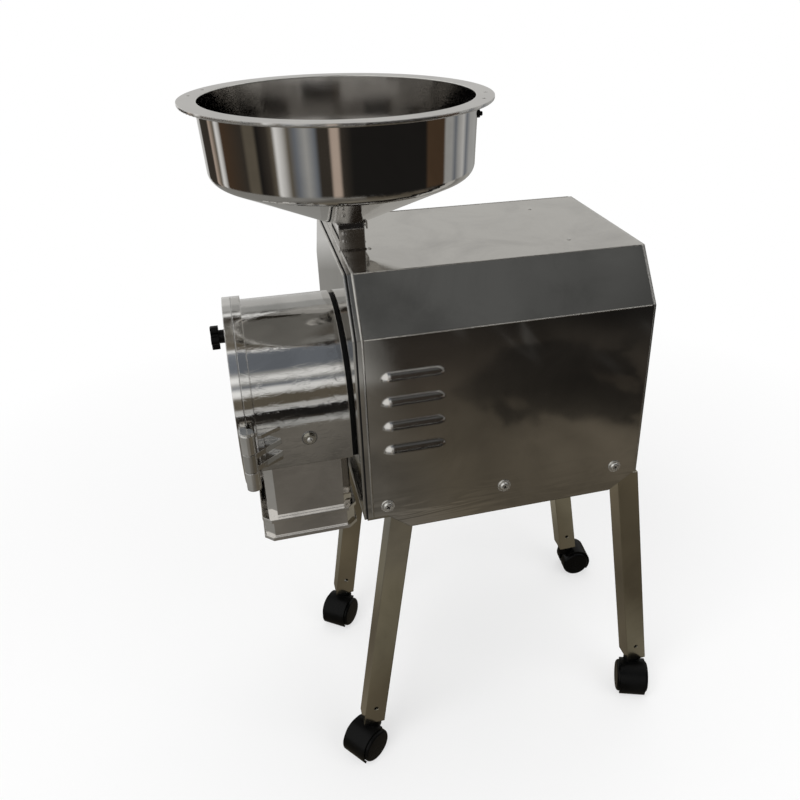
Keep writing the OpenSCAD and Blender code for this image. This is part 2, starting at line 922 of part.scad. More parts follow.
// Outline of the chute from the side, grown by g all round
function chute_points(g) =
    let (top = cover_top - sheet_t,
         front = neck_mid - neck_in_d,
         rear = neck_mid + neck_in_d,
         knee = window_top + chute_knee)
    [[front - g, top], [rear + g, top], [rear + g, knee - g / 2], [drum_rear, window_low - 1.3 * g],
     [drum_rear, window_top + g], [front - g, window_top + g]];

module chute_passage(y0, y1) {
    intersection() {
        along_x(-neck_half_w - seat_gap, neck_half_w + seat_gap)
            polygon(chute_points(neck_wall + seat_gap));
        block([-half_w, y0, tray_top], [half_w, y1, cover_top]);
    }
}

// Sloping chute from the neck through the front plate into the chamber's back
module feed_chute() {
    inside = cover_top - sheet_t;
    color("silver")
        difference() {
            union() {
                along_x(-neck_half_w, neck_half_w)
                    polygon(chute_points(neck_wall));
                block([-neck_half_w - chute_lip, neck_mid - neck_half_d - 1, inside - chute_lip_t],
                      [neck_half_w + chute_lip, neck_mid + neck_half_d + chute_lip, inside]);
            }
            along_x(-neck_in_w, neck_in_w)
                polygon(chute_points(0));
            block([-neck_in_w, drum_rear - 1, window_low], [neck_in_w, drum_rear + 2, window_top]);
            block([-neck_in_w, neck_mid - neck_in_d, inside - 1],
                  [neck_in_w, neck_mid + neck_in_d, inside + 1]);
        }
}

// Grinding chamber

// Holes for the bolts that hold the chamber to the front plate
module mount_holes(y0, y1) {
    for (a = mount_angles) {
        translate([mount_r * cos(a), 0, mount_r * sin(a)])
            rod_y(bolt_r + bolt_gap, y0, y1);
    }
}

// Arch of the chamber: a half circle on straight sides down to height low
module arch(r, low) {
    translate([0, axis_z])
        circle(r = r, $fn = 128);
    translate([-r, low])
        square([2 * r, axis_z - low]);
}

module arch_outline(r, low) {
    difference() {
        arch(r, low);
        translate([-2 * r, low - 2 * r])
            square([4 * r, 2 * r]);
    }
}

// Bracket on the chamber's side: the hinge's middle knuckle on two arms, between two gussets
module hinge_bracket() {
    side = drum_r - 1;
    low = hinge_z - knuckle_h / 2 + seat_gap;
    high = hinge_z + knuckle_h / 2 - seat_gap;
    root = drum_front + bracket_root;
    arm = [[side, root], [hinge_x + knuckle_r - 1, hinge_y + 3], [hinge_x - knuckle_r + 1, hinge_y - 2],
           [side, drum_front]];
    gusset = [[side, root], [side + gusset_out, drum_front + gusset_t], [side + gusset_out, drum_front],
              [side, drum_front]];
    translate([hinge_x, hinge_y, low])
        cylinder(r = knuckle_r, h = high - low);
    for (z = [low, high - arm_t]) {
        translate([0, 0, z])
            linear_extrude(arm_t)
                polygon(arm);
    }
    for (z = [low - gusset_t, high + gusset_up]) {
        translate([0, 0, z])
            linear_extrude(gusset_t)
                polygon(gusset);
    }
    block([side, drum_front, low - gusset_t],
          [side + gusset_t, drum_front + 6, high + gusset_up + gusset_t]);
}

// Cast chamber: arch with back wall, front flange, hinge bracket, screen ledges and an ear for the clamp
module chamber_body() {
    color("lightsteelblue")
        difference() {
            union() {
                difference() {
                    along_y(drum_front, drum_rear)
                        arch_outline(drum_r, skirt_z);
                    along_y(drum_front - 1, back_front)
                        arch_outline(drum_in, skirt_z - 1);
                }
                on_axis()
                    ring_y(flange_r, drum_in, flange_front, drum_front + eps);
                hinge_bracket();
                for (side = [0, 1]) {
                    mirror([side, 0, 0])
                        block([drum_in - ledge_t, drum_front, ledge_z - ledge_h],
                              [drum_in + 1, drum_rear - 1, ledge_z]);
                }
                translate([clamp_x, 0, clamp_z]) {
                    rod_y(clamp_lug_r, flange_front, drum_front);
                    block([0, flange_front, -clamp_lug_r], [clamp_lug_in, drum_front, clamp_lug_r]);
                }
            }
            on_axis() {
                rod_y(seal_r + fix_gap, back_front - 1, drum_rear + 1);
                mount_holes(back_front - 1, drum_rear + 1);
                rod_y(drum_in, flange_front - 1, drum_front);
            }
            block([-neck_in_w, back_front - 1, window_low], [neck_in_w, drum_rear + 1, window_top]);
            translate([clamp_x, 0, clamp_z])
                rod_y(clamp_hole_r, flange_front - 1, drum_front + 1);
            translate([hinge_x, hinge_y, hinge_low])
                cylinder(r = hinge_pin_r + fix_gap, h = 3 * knuckle_h);
            translate([-housing_w, side_bolt_y, side_bolt_z])
                rotate([0, 90, 0])
                    cylinder(r = side_bolt_r + bolt_gap, h = 2 * housing_w);
        }
}

module chamber_gasket() {
    color("black")
        difference() {
            along_y(drum_rear, plate_front)
                arch_outline(drum_r - gasket_in, skirt_z);
            on_axis()
                rod_y(seal_r + seal_room + 2, drum_rear - 1, plate_front + 1);
            on_axis()
                mount_holes(drum_rear - 1, plate_front + 1);
            chute_passage(drum_rear - 1, plate_front + 1);
        }
}

// Bolts from inside the chamber through gasket and front plate, with nuts behind
module chamber_bolts() {
    color("lightgray")
        on_axis()
            for (a = mount_angles) {
                translate([mount_r * cos(a), back_front, mount_r * sin(a)]) {
                    rotate([90, 0, 0])
                        hex_bolt(bolt_r, cover_front - back_front + bolt_nut_h, bolt_head_r, bolt_head_h);
                    translate([0, cover_front - back_front, 0])
                        rotate([-90, 0, 0])
                            cylinder(r = bolt_head_r, h = bolt_nut_h, $fn = 6);
                }
            }
}

// Bolts with washers on the chamber's two flat sides
module side_bolts() {
    color("lightgray")
        for (side = [0, 1]) {
            mirror([side, 0, 0])
                translate([drum_r, side_bolt_y, side_bolt_z])
                    rotate([0, 90, 0])
                        hex_bolt(side_bolt_r, drum_wall - seat_gap, side_head_r, side_head_h);
        }
}

// Toothed half ring over the rotor
module breaker_liner() {
    tooth = 180 / liner_teeth;
    depth = 2;
    teeth = [for (i = [0:liner_teeth - 1], k = [0, 0.5])
                 let (a = 180 - (i + k) * tooth, r = liner_in + (k == 0 ? depth : 0))
                 r * [cos(a), sin(a)]];
    color("dimgray")
        on_axis()
            along_y(liner_front, liner_rear)
                difference() {
                    intersection() {
                        circle(r = liner_out, $fn = 128);
                        translate([-liner_out, 0])
                            square([2 * liner_out, liner_out]);
                    }
                    polygon(concat(teeth, [[liner_in + depth, 0], [liner_in + depth, -1],
                                           [-liner_in - depth, -1]]));
                }
}

// Perforated half ring under the rotor, hung by its edges on the chamber's ledges
module screen() {
    rows = 5;
    across = 9;
    row_pitch = (screen_rear - screen_front - 2 * screen_edge) / rows;
    hole_span = 160;
    color("silver")
        on_axis()
            difference() {
                union() {
                    intersection() {
                        ring_y(screen_out, liner_in, screen_front, screen_rear);
                        block([-drum_r, screen_front - 1, -drum_r], [drum_r, screen_rear + 1, -seat_gap]);
                    }
                    for (side = [0, 1]) {
                        mirror([side, 0, 0])
                            block([liner_in, screen_front, -seat_gap - screen_t],
                                  [drum_in - seat_gap, screen_rear, -seat_gap]);
                    }
                }
                for (row = [0:rows - 1], i = [0:across - 1]) {
                    translate([0, screen_front + screen_edge + (row + 0.5) * row_pitch, 0])
                        rotate([0, 180 - hole_span / 2 + i * hole_span / (across - 1), 0])
                            translate([0, 0, liner_in - screen_punch])
                                cylinder(d = screen_hole_d, h = 2 * screen_punch);
                }
            }
}

// Chamfered rectangle of the outlet seen from above, grown by g, its front at y0
module spout_outline(g, y0) {
    x = spout_half + g;
    y1 = spout_rear + g;
    cut = spout_cut;
    polygon([[x, y0 + cut], [x, y1 - cut], [x - cut, y1], [cut - x, y1], [-x, y1 - cut], [-x, y0 + cut],
             [cut - x, y0], [x - cut, y0]]);
}

// Outlet box under the chamber; its lip reaches forward under the flange and has a bead at each edge
module outlet_spout() {
    low = skirt_z - spout_h;
    color("silver")
        difference() {
            union() {
                translate([0, 0, low])
                    linear_extrude(spout_h)
                        spout_outline(0, spout_front);
                translate([0, 0, low])
                    linear_extrude(lip_h)
                        spout_outline(lip_out, lip_front);
                for (z = [low + 1, low + lip_h - bead_h]) {
                    translate([0, 0, z])
                        linear_extrude(bead_h)
                            spout_outline(lip_out + bead_out, lip_front - bead_out);
                }
            }
            translate([0, 0, low - 1])
                linear_extrude(spout_h + 2)
                    spout_outline(-spout_wall, spout_front + spout_wall);
        }
}

module hinge_pin() {
    below = 2;
    head_h = 2;
    color("lightgray")
        translate([hinge_x, hinge_y, hinge_low - below]) {
            cylinder(r = hinge_pin_r, h = 3 * knuckle_h + below);
            translate([0, 0, 3 * knuckle_h + below])
                cylinder(r = knuckle_r - 1, h = head_h);
        }
}

module shaft_seal() {
    color("black")
        on_axis()
            ring_y(seal_r, shaft_r + run_gap, back_front - 3, drum_rear);
}

// Door

// Round cast door with a raised rim, two hinge knuckles and an ear for the clamp
module mill_door() {
    rim = 7;
    rim_h = 2.5;
    ring_r = 0.42 * flange_r;
    ring_w = 5;
    ring_h = 2;
    strap_x = 0.7 * flange_r;
    ends = [hinge_low, hinge_low + 2 * knuckle_h];
    color("lightsteelblue")
        difference() {
            union() {
                on_axis() {
                    rod_y(flange_r, door_front + rim_h, door_rear, 128);
                    difference() {
                        rod_y(flange_r, door_front, door_rear, 128);
                        rod_y(flange_r - rim, door_front - 1, door_front + rim_h);
                    }
                    ring_y(ring_r, ring_r - ring_w, door_front + rim_h - ring_h, door_rear);
                }
                for (z = ends) {
                    translate([0, 0, z + (z == ends[0] ? 0 : seat_gap)])
                        linear_extrude(knuckle_h - seat_gap) {
                            translate([hinge_x, hinge_y])
                                circle(r = knuckle_r);
                            polygon([[hinge_x, hinge_y - knuckle_r], [hinge_x, door_rear],
                                     [strap_x, door_rear], [strap_x, door_front + 2]]);
                        }
                }
                translate([clamp_x, 0, clamp_z]) {
                    rod_y(clamp_lug_r, door_front, door_rear);
                    rod_y(clamp_boss_r, door_front - clamp_boss, door_front + 1);
                    block([0, door_front, -clamp_lug_r], [clamp_lug_in, door_rear, clamp_lug_r]);
                }
            }
            translate([hinge_x, hinge_y, hinge_low - 1])
                cylinder(r = hinge_pin_r + run_gap, h = 3 * knuckle_h + 2);
            translate([clamp_x, 0, clamp_z])
                rod_y(clamp_r + run_gap, door_front - clamp_boss - 1, door_rear + 1);
        }
}

// Wear plate behind the door
module door_liner() {
    color("dimgray")
        on_axis()
            difference() {
                rod_y(liner_in - liner_gap, door_rear, door_rear + door_liner_t);
                rod_y(nut_room, door_rear + door_liner_t - 1, door_rear + door_liner_t + 1);
            }
}

// Lobed hand knob on the clamp screw
module door_knob() {
    seat = door_front - clamp_boss - seat_gap;
    head = seat - knob_neck;
    lobe_r = knob_r / 3;
    color("black")
        translate([clamp_x, 0, clamp_z])
            difference() {
                union() {
                    rod_y(clamp_r + 4, head, seat);
                    rod_y(knob_r - lobe_r, head - knob_t, head + eps);
                    for (i = [0:knob_lobes - 1]) {
                        rotate([0, i * 360 / knob_lobes, 0])
                            translate([knob_r - lobe_r, 0, 0])
                                rod_y(lobe_r, head - knob_t, head);
                    }
                }
                rod_y(clamp_r + fix_gap, head - knob_t + knob_cap, seat + 1);
            }
}

// Screw that the knob turns, through the door's ear into the chamber's ear
module clamp_screw() {
    head = door_front - clamp_boss - seat_gap - knob_neck;
    color("lightgray")
        translate([clamp_x, 0, clamp_z])
            rod_y(clamp_r, head - knob_t + knob_cap + seat_gap, clamp_tip);
}

// Motor

// Repeats its children where the motor's feet are bolted down
module motor_bolt_places() {
    for (x = [-foot_x, foot_x], y = foot_ys) {
        translate([x, y, tray_top + rail_h])
            children();
    }
}

// Ribbed frame with the stator in it, on two feet
module motor_frame() {
    pad_z = tray_top + rail_h;
    step = 360 / motor_ribs;
    ribs = [for (i = [0:motor_ribs - 1], k = [[0, 1], [0.35, 1], [0.35, 0], [1, 0]])
                let (a = (i + k[0]) * step, r = motor_r - rib_h * (1 - k[1]))
                r * [cos(a), sin(a)]];
    color("darkslategray")
        difference() {
            union() {
                on_axis()
                    along_y(motor_front, motor_rear)
                        polygon(ribs);
                for (y = foot_ys) {
                    block([-foot_half, y - foot_pad_w / 2, pad_z],
                          [foot_half, y + foot_pad_w / 2, pad_z + foot_pad_t]);
                    for (side = [0, 1]) {
                        mirror([side, 0, 0])
                            block([foot_rib[0], y - foot_rib_w / 2, pad_z + 1],
                                  [foot_rib[1], y + foot_rib_w / 2, foot_rib_top]);
                    }
                }
            }
            on_axis()
                rod_y(stator_r, motor_front - 1, motor_rear + 1);
            motor_bolt_places()
                cylinder(r = bolt_r + bolt_gap, h = 4 * rail_h, center = true);
        }
}

// End bell with a bearing seat open towards the motor
module end_bell(y0, y1, r, open_front) {
    on_axis()
        difference() {
            rod_y(r, y0, y1);
            rod_y(shaft_r + 2, y0 - 1, y1 + 1);
            rod_y(bearing_r + fix_gap, open_front ? y0 - 1 : y0 + bell_wall,
                  open_front ? y1 - bell_wall : y1 + 1);
        }
}

module motor_front_bell() {
    color("slategray")
        end_bell(motor_front - bell_len, motor_front, bell_r, false);
}

module motor_rear_bell() {
    color("slategray")
        end_bell(motor_rear, motor_rear + bell_len, cowl_r - cowl_t - seat_gap, true);
}

module front_bearing() {
    color("lightgray")
        on_axis()
            ring_y(bearing_r, shaft_r + run_gap, motor_front - bell_len + bell_wall, motor_front - 1);
}

module rear_bearing() {
    color("lightgray")
        on_axis()
            ring_y(bearing_r, shaft_r + run_gap, motor_rear + 1, motor_rear + bell_len - bell_wall);
}

module fan_cowl() {
    slots = 12;
    slot_half = 3;
    slot_from = 20;
    slot_to = cowl_r - 12;
    color("darkslategray")
        on_axis()
            difference() {
                rod_y(cowl_r, motor_rear + bell_len / 2, cowl_rear);
                rod_y(cowl_r - cowl_t, motor_rear, cowl_rear - cowl_t);
                for (i = [0:slots - 1]) {
                    rotate([0, i * 360 / slots, 0])
                        block([slot_from, cowl_rear - 3 * cowl_t, -slot_half],
                              [slot_to, cowl_rear + 1, slot_half]);
                }
            }
}

module motor_bolts() {
    color("lightgray")
        motor_bolt_places()
            translate([0, 0, foot_pad_t])
                hex_bolt(bolt_r, foot_pad_t + rail_h + tray_t + bolt_nut_h, bolt_head_r, bolt_head_h);
}

// Motor capacitor, a plain can with two tags
module capacitor() {
    color("ivory")
        translate([can_x, can_y, tray_top]) {
            cylinder(r = can_r, h = can_h);
            cylinder(r = can_clamp_r, h = can_clamp_h);
            for (x = [-tag_half, tag_half]) {
                translate([x, 0, can_h - eps] - [tag_size[0] / 2, tag_size[1] / 2, 0])
                    cube(tag_size);
            }
        }
}

module cable_gland() {
    color("black")
        translate([gland_x, cover_rear + rear_t, gland_z])
            difference() {
                union() {
                    rod_y(gland_thread, -rear_t - gland_in, 1);
                    rod_y(gland_hex, 0, gland_hex_h, 6);
                    rod_y(gland_r - 1, gland_hex_h - 1, gland_out);
                    rod_y(gland_r + 1, -rear_t - gland_hex_h, -rear_t, 6);
                }
                rod_y(gland_bore, -rear_t - gland_in - 1, gland_out + 1);
            }
}

// Rocker switch: bezel and box through the rear plate
module switch_body() {
    face = cover_rear + rear_t;
    color("black")
        translate([switch_x, 0, switch_z])
            difference() {
                union() {
                    block([-bezel_w, face, -bezel_h], [bezel_w, face + bezel_t, bezel_h]);
                    block([-box_w, face - box_depth, -box_h], [box_w, face + 1, box_h]);
                }
                block([-pocket_w, face - pocket_depth, -pocket_h],
                      [pocket_w, face + bezel_t + 1, pocket_h]);
            }
}

// Rocker of the switch, tilted the way it stands when the mill is off
module switch_rocker() {
    face = cover_rear + rear_t;
    color("firebrick")
        translate([switch_x, face - rocker_in, switch_z])
            rotate([-rocker_tilt, 0, 0])
                along_x(seat_gap - pocket_w, pocket_w - seat_gap) {
                    polygon(rocker_side);
                    circle(r = rocker_hub);
                }
}

// Rotor

module drive_shaft() {
    color("lightgray")
        on_axis()
            rod_y(shaft_r, shaft_front, shaft_rear);
}

module motor_rotor() {
    color("gray")
        on_axis()
            ring_y(stator_r - rotor_air, shaft_r + fix_gap, motor_front + rotor_inset,
                   motor_rear - rotor_inset);
}

module cooling_fan() {
    blade = 2.5;
    color("dimgray")
        on_axis()
            difference() {
                union() {
                    rod_y(shaft_r + 6, fan_front, fan_front + fan_len);
                    rod_y(fan_r, fan_front, fan_front + blade);
                    for (i = [0:fan_blades - 1]) {
                        rotate([0, i * 360 / fan_blades, 0])
                            block([shaft_r + 2, fan_front, -blade / 2],
                                  [fan_r, fan_front + fan_len, blade / 2]);
                    }
                }
                rod_y(shaft_r + fix_gap, fan_front - 1, fan_front + fan_len + 1);
            }
}

// Places its children at one hammer's pin
module at_pin(a) {
    translate([pin_circle * cos(a), 0, axis_z + pin_circle * sin(a)])
        children();
}

// Hub with two discs that carry the hammers' pins
module rotor_head() {
    color("slategray")
        difference() {
            on_axis() {
                rod_y(hub_r, rotor_front, rotor_rear + hub_rear);
                rod_y(disc_r, rotor_front, rotor_front + disc_t);
                rod_y(disc_r, rotor_rear - disc_t, rotor_rear);
            }
            on_axis()
                rod_y(shaft_r + fix_gap, rotor_front - 1, rotor_rear + hub_rear + 1);
            for (a = hammer_angles) {
                at_pin(a)
                    rod_y(hammer_pin_r + fix_gap, rotor_front - 1, rotor_rear + 1);
            }
        }
}

// Headed pins through both discs
module hammer_pins() {
    color("lightgray")
        for (a = hammer_angles) {
            at_pin(a) {
                rod_y(hammer_pin_r, rotor_front - pin_head, rotor_rear + pin_head);
                rod_y(hammer_pin_r + pin_head, rotor_rear, rotor_rear + pin_head);
                rod_y(hammer_pin_r + pin_head, rotor_front - pin_head, rotor_front);
            }
        }
}

module rotor_nut() {
    color("lightgray")
        on_axis()
            difference() {
                rod_y(nut_r, rotor_front - nut_h, rotor_front, 6);
                rod_y(shaft_r + fix_gap, rotor_front - nut_h - 1, rotor_front + 1);
            }
}

// Hammer hanging from its pin, as it does when the mill stands still
module hammer(i) {
    bay = hammer_bays[i % 2];
    color("dimgray")
        at_pin(hammer_angles[i])
            difference() {
                union() {
                    rod_y(hammer_w / 2, bay, bay + hammer_t);
                    block([-hammer_w / 2, bay, -hammer_len], [hammer_w / 2, bay + hammer_t, 0]);
                }
                rod_y(hammer_pin_r + run_gap, bay - 1, bay + hammer_t + 1);
            }
}

front_plate();
housing_cover();
rear_plate();
base_tray();
panel_screws();
leg(corners[0]);  // leg_front_right
leg(corners[1]);  // leg_front_left
leg(corners[2]);  // leg_rear_right
leg(corners[3]);  // leg_rear_left
caster_stems();
hopper_bowl();
neck_collar();
feed_chute();
feed_gate();
chamber_body();
chamber_gasket();
chamber_bolts();
side_bolts();
breaker_liner();
screen();
outlet_spout();
hinge_pin();
shaft_seal();
mill_door();
door_liner();
door_knob();
clamp_screw();
motor_frame();
motor_front_bell();
motor_rear_bell();
fan_cowl();
motor_bolts();
front_bearing();
rear_bearing();
capacitor();
cable_gland();
switch_body();
switch_rocker();
drive_shaft();
motor_rotor();
cooling_fan();
rotor_head();
hammer_pins();
rotor_nut();
hammer(0);  // hammer_1
hammer(1);  // hammer_2
hammer(2);  // hammer_3
hammer(3);  // hammer_4
caster_hood(corners[0]);  // caster_hood_fr
caster_hood(corners[1]);  // caster_hood_fl
caster_hood(corners[2]);  // caster_hood_rr
caster_hood(corners[3]);  // caster_hood_rl
caster_wheel(corners[0], 1);  // wheel_fr_1
caster_wheel(corners[0], -1);  // wheel_fr_2
caster_wheel(corners[1], 1);  // wheel_fl_1
caster_wheel(corners[1], -1);  // wheel_fl_2
caster_wheel(corners[2], 1);  // wheel_rr_1
caster_wheel(corners[2], -1);  // wheel_rr_2
caster_wheel(corners[3], 1);  // wheel_rl_1
caster_wheel(corners[3], -1);  // wheel_rl_2
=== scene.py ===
"""Looks of the stainless steel hammer mill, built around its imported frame. Lengths are metres."""

import json
import math

import bmesh
import bpy
from mathutils import Matrix, Vector


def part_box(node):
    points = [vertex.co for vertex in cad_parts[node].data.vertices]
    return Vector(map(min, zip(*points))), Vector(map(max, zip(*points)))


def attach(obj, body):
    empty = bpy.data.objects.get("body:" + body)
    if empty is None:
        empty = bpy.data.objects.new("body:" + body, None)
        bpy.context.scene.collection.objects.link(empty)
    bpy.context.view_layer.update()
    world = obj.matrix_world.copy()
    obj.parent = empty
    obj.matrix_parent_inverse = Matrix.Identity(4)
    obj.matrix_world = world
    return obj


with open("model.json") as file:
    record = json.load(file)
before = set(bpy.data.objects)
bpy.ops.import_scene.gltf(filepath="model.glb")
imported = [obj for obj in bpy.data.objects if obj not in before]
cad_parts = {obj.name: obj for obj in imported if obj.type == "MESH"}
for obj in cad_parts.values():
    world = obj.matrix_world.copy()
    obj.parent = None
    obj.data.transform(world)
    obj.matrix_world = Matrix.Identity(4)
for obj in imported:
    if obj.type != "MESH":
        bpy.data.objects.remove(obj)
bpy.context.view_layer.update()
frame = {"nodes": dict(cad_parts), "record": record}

MM = 0.001
scene = bpy.context.scene
scene.view_settings.view_transform = "Standard"

# Places that the details are set by, read from the frame
TRAY_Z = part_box("base_tray")[0].z
COVER_LOW, COVER_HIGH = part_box("housing_cover")
LOUVRE_OUT = 4.5 * MM
HALF_W = COVER_HIGH.x - LOUVRE_OUT
TOP_Z = COVER_HIGH.z
FRONT_Y = COVER_LOW.y
REAR_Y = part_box("rear_plate")[1].y
BOWL_LOW, BOWL_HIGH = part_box("hopper_bowl")
BOWL_MID = (BOWL_LOW + BOWL_HIGH) / 2
AXIS_Z = (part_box("drive_shaft")[0].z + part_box("drive_shaft")[1].z) / 2
NECK_LOW, NECK_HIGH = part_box("neck_collar")
SIDE_LOW, SIDE_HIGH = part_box("side_bolts")
SIDE_MID = (SIDE_LOW + SIDE_HIGH) / 2

# Right and left of the mill, with the ends of the names of pieces there
SIDES = ((1, "r"), (-1, "l"))


# Node helpers

def node(tree, kind, inputs=None, **settings):
    """Adds a shader node. An input's value is a plain value, or an output socket to link."""
    made = tree.nodes.new("ShaderNode" + kind)
    for key, value in settings.items():
        setattr(made, key, value)
    for key, value in (inputs or {}).items():
        if isinstance(value, bpy.types.NodeSocket):
            tree.links.new(value, made.inputs[key])
        else:
            made.inputs[key].default_value = value
    return made


def new_material(name):
    material = bpy.data.materials.new(name)
    material.use_nodes = True
    material.node_tree.nodes.clear()
    return material, material.node_tree


def set_surface(tree, shader):
    """Makes a shader's output the surface of its material."""
    tree.links.new(shader, node(tree, "OutputMaterial").inputs["Surface"])


def object_place(tree):
    return node(tree, "TexCoord").outputs["Object"]


def parts_of(tree, vector):
    return node(tree, "SeparateXYZ", {"Vector": vector}).outputs


def ramp(tree, factor, stops):
    """Colour ramp from (position, colour) stops; a colour is a grey level or three values."""
    made = node(tree, "ValToRGB", {"Fac": factor})
    elements = made.color_ramp.elements
    while len(elements) < len(stops):
        elements.new(0.5)
    for element, (place, colour) in zip(elements, stops):
        rgb = (colour,) * 3 if isinstance(colour, (int, float)) else colour
        element.position = place
        element.color = (*rgb, 1)
    return made.outputs["Color"]


def between(tree, value, low, high, to_low, to_high):
    """Maps low..high to to_low..to_high, and holds the ends."""
    return node(tree, "MapRange", {"Value": value, "From Min": low, "From Max": high,
                                   "To Min": to_low, "To Max": to_high}).outputs["Result"]


def rising(tree, value, span):
    return between(tree, value, *span, 0.0, 1.0)


def falling(tree, value, span):
    return between(tree, value, *span, 1.0, 0.0)


def math_node(tree, operation, a, b=0.0):
    return node(tree, "Math", {0: a, 1: b}, operation=operation).outputs[0]


def vector_node(tree, operation, a, b=(0, 0, 0)):
    return node(tree, "VectorMath", {0: a, 1: b}, operation=operation).outputs["Vector"]


def measure(tree, operation, a, b=(0, 0, 0)):
    """Length, distance or dot product of vectors."""
    return node(tree, "VectorMath", {0: a, 1: b}, operation=operation).outputs["Value"]


def mixed(tree, share, a, b, blend="MIX"):
    return node(tree, "MixRGB", {"Fac": share, "Color1": a, "Color2": b},
                blend_type=blend).outputs["Color"]


def noise(tree, vector, scale, detail=4.0, roughness=0.55, distortion=0.0):
    return node(tree, "TexNoise", {"Vector": vector, "Scale": scale, "Detail": detail,
                                   "Roughness": roughness, "Distortion": distortion}).outputs["Fac"]


def stretched(tree, vector, scale):
    return node(tree, "Mapping", {"Vector": vector, "Scale": scale}).outputs["Vector"]


def bump(tree, height, strength, distance, normal):
    return node(tree, "Bump", {"Height": height, "Strength": strength, "Distance": distance,
                               "Normal": normal}).outputs["Normal"]


def softened(tree, radius):
    """Normal that rounds the edges by radius."""
    return node(tree, "Bevel", {"Radius": radius}, samples=3).outputs["Normal"]


def seen_rays(tree):
    """1 on rays from the camera, reflections and clear materials, 0 on rays that carry light."""
    path = node(tree, "LightPath").outputs
    return math_node(tree, "MAXIMUM", path["Is Camera Ray"],
                     math_node(tree, "MAXIMUM", path["Is Glossy Ray"], path["Is Transmission Ray"]))


def shades(colour, low, high):
    """A darker and a lighter shade of a colour."""
    return tuple(c * low for c in colour), tuple(min(1.0, c * high) for c in colour)


# Materials: how many pattern waves there are to a metre, and how deep the patterns are

SMUDGE_SCALE = 11.0
SPOT_SCALE = 70.0
SWELL_SCALE = 7.0
RIPPLE_SCALE = 24.0
DENT_STRETCH = (160, 60, 160)
BUCKLE_STRETCH = (10, 9, 70)
BLOTCH_SCALE = 34.0
SWELL_DEPTH = 4 * MM
GRAIN_DEPTH = 0.6 * MM
DENT_DEPTH = 0.8 * MM
BUCKLE_DEPTH = 4 * MM
MOULD_DEPTH = 0.5 * MM
MOULD_EDGE = 0.6 * MM
BUCKLE_STRENGTH = 0.22
DENT_STOPS = [(0.50, 0.0), (0.66, 1.0)]
# Parts of a noise's range over which the roughness changes
STAIN_SPAN = (0.36, 0.64)
BLOTCH_SPAN = (0.3, 0.7)
# Darker and lighter shades as shares of a colour, and where in a noise they and the colour lie
STEEL_SHADES = (0.84, 1.06)
STEEL_STOPS = (0.30, 0.52, 0.72)
COAT_SHADES = (0.7, 1.5)
COAT_STOPS = (0.32, 0.55, 0.78)
# Buckles fade out between these heights
HEM_SPAN = (TRAY_Z + 6 * MM, TRAY_Z + 34 * MM)
# Share of the smudges in the roughness, where the spots have the rest
SMUDGE_SHARE = 0.75
# The bowl's inside is where its normal turns in by this much, and painted shade darkens its colour
# there to this share
TURNED_IN = -0.1
PAINTED_SHADE_INSIDE = 0.18
# How dark the painted shade on the bowl's inside is, as a share of the steel's colour
PAINTED_SHADE_LEVEL = 0.3


def turned_place(tree, place, across, middle, along):
    """Radius, angle and length about an axis that crosses x = 0, as a vector for turned grain."""
    parts = parts_of(tree, place)
    off = math_node(tree, "SUBTRACT", parts[across], middle)
    flat = node(tree, "CombineXYZ", {"X": parts["X"], "Y": off}).outputs["Vector"]
    turn = math_node(tree, "ARCTAN2", off, parts["X"])
    return node(tree, "CombineXYZ", {"X": measure(tree, "LENGTH", flat), "Y": turn,
                                     "Z": parts[along]}).outputs["Vector"]


def inner_side(tree, place, middle):
    """1 where the bowl's surface faces its own upright axis, 0 elsewhere."""
    off = vector_node(tree, "SUBTRACT", place, (0, middle, 0))
    outward = vector_node(tree, "NORMALIZE", vector_node(tree, "MULTIPLY", off, (1, 1, 0)))
    normal = node(tree, "NewGeometry").outputs["Normal"]
    return math_node(tree, "LESS_THAN", measure(tree, "DOT_PRODUCT", normal, outward), TURNED_IN)


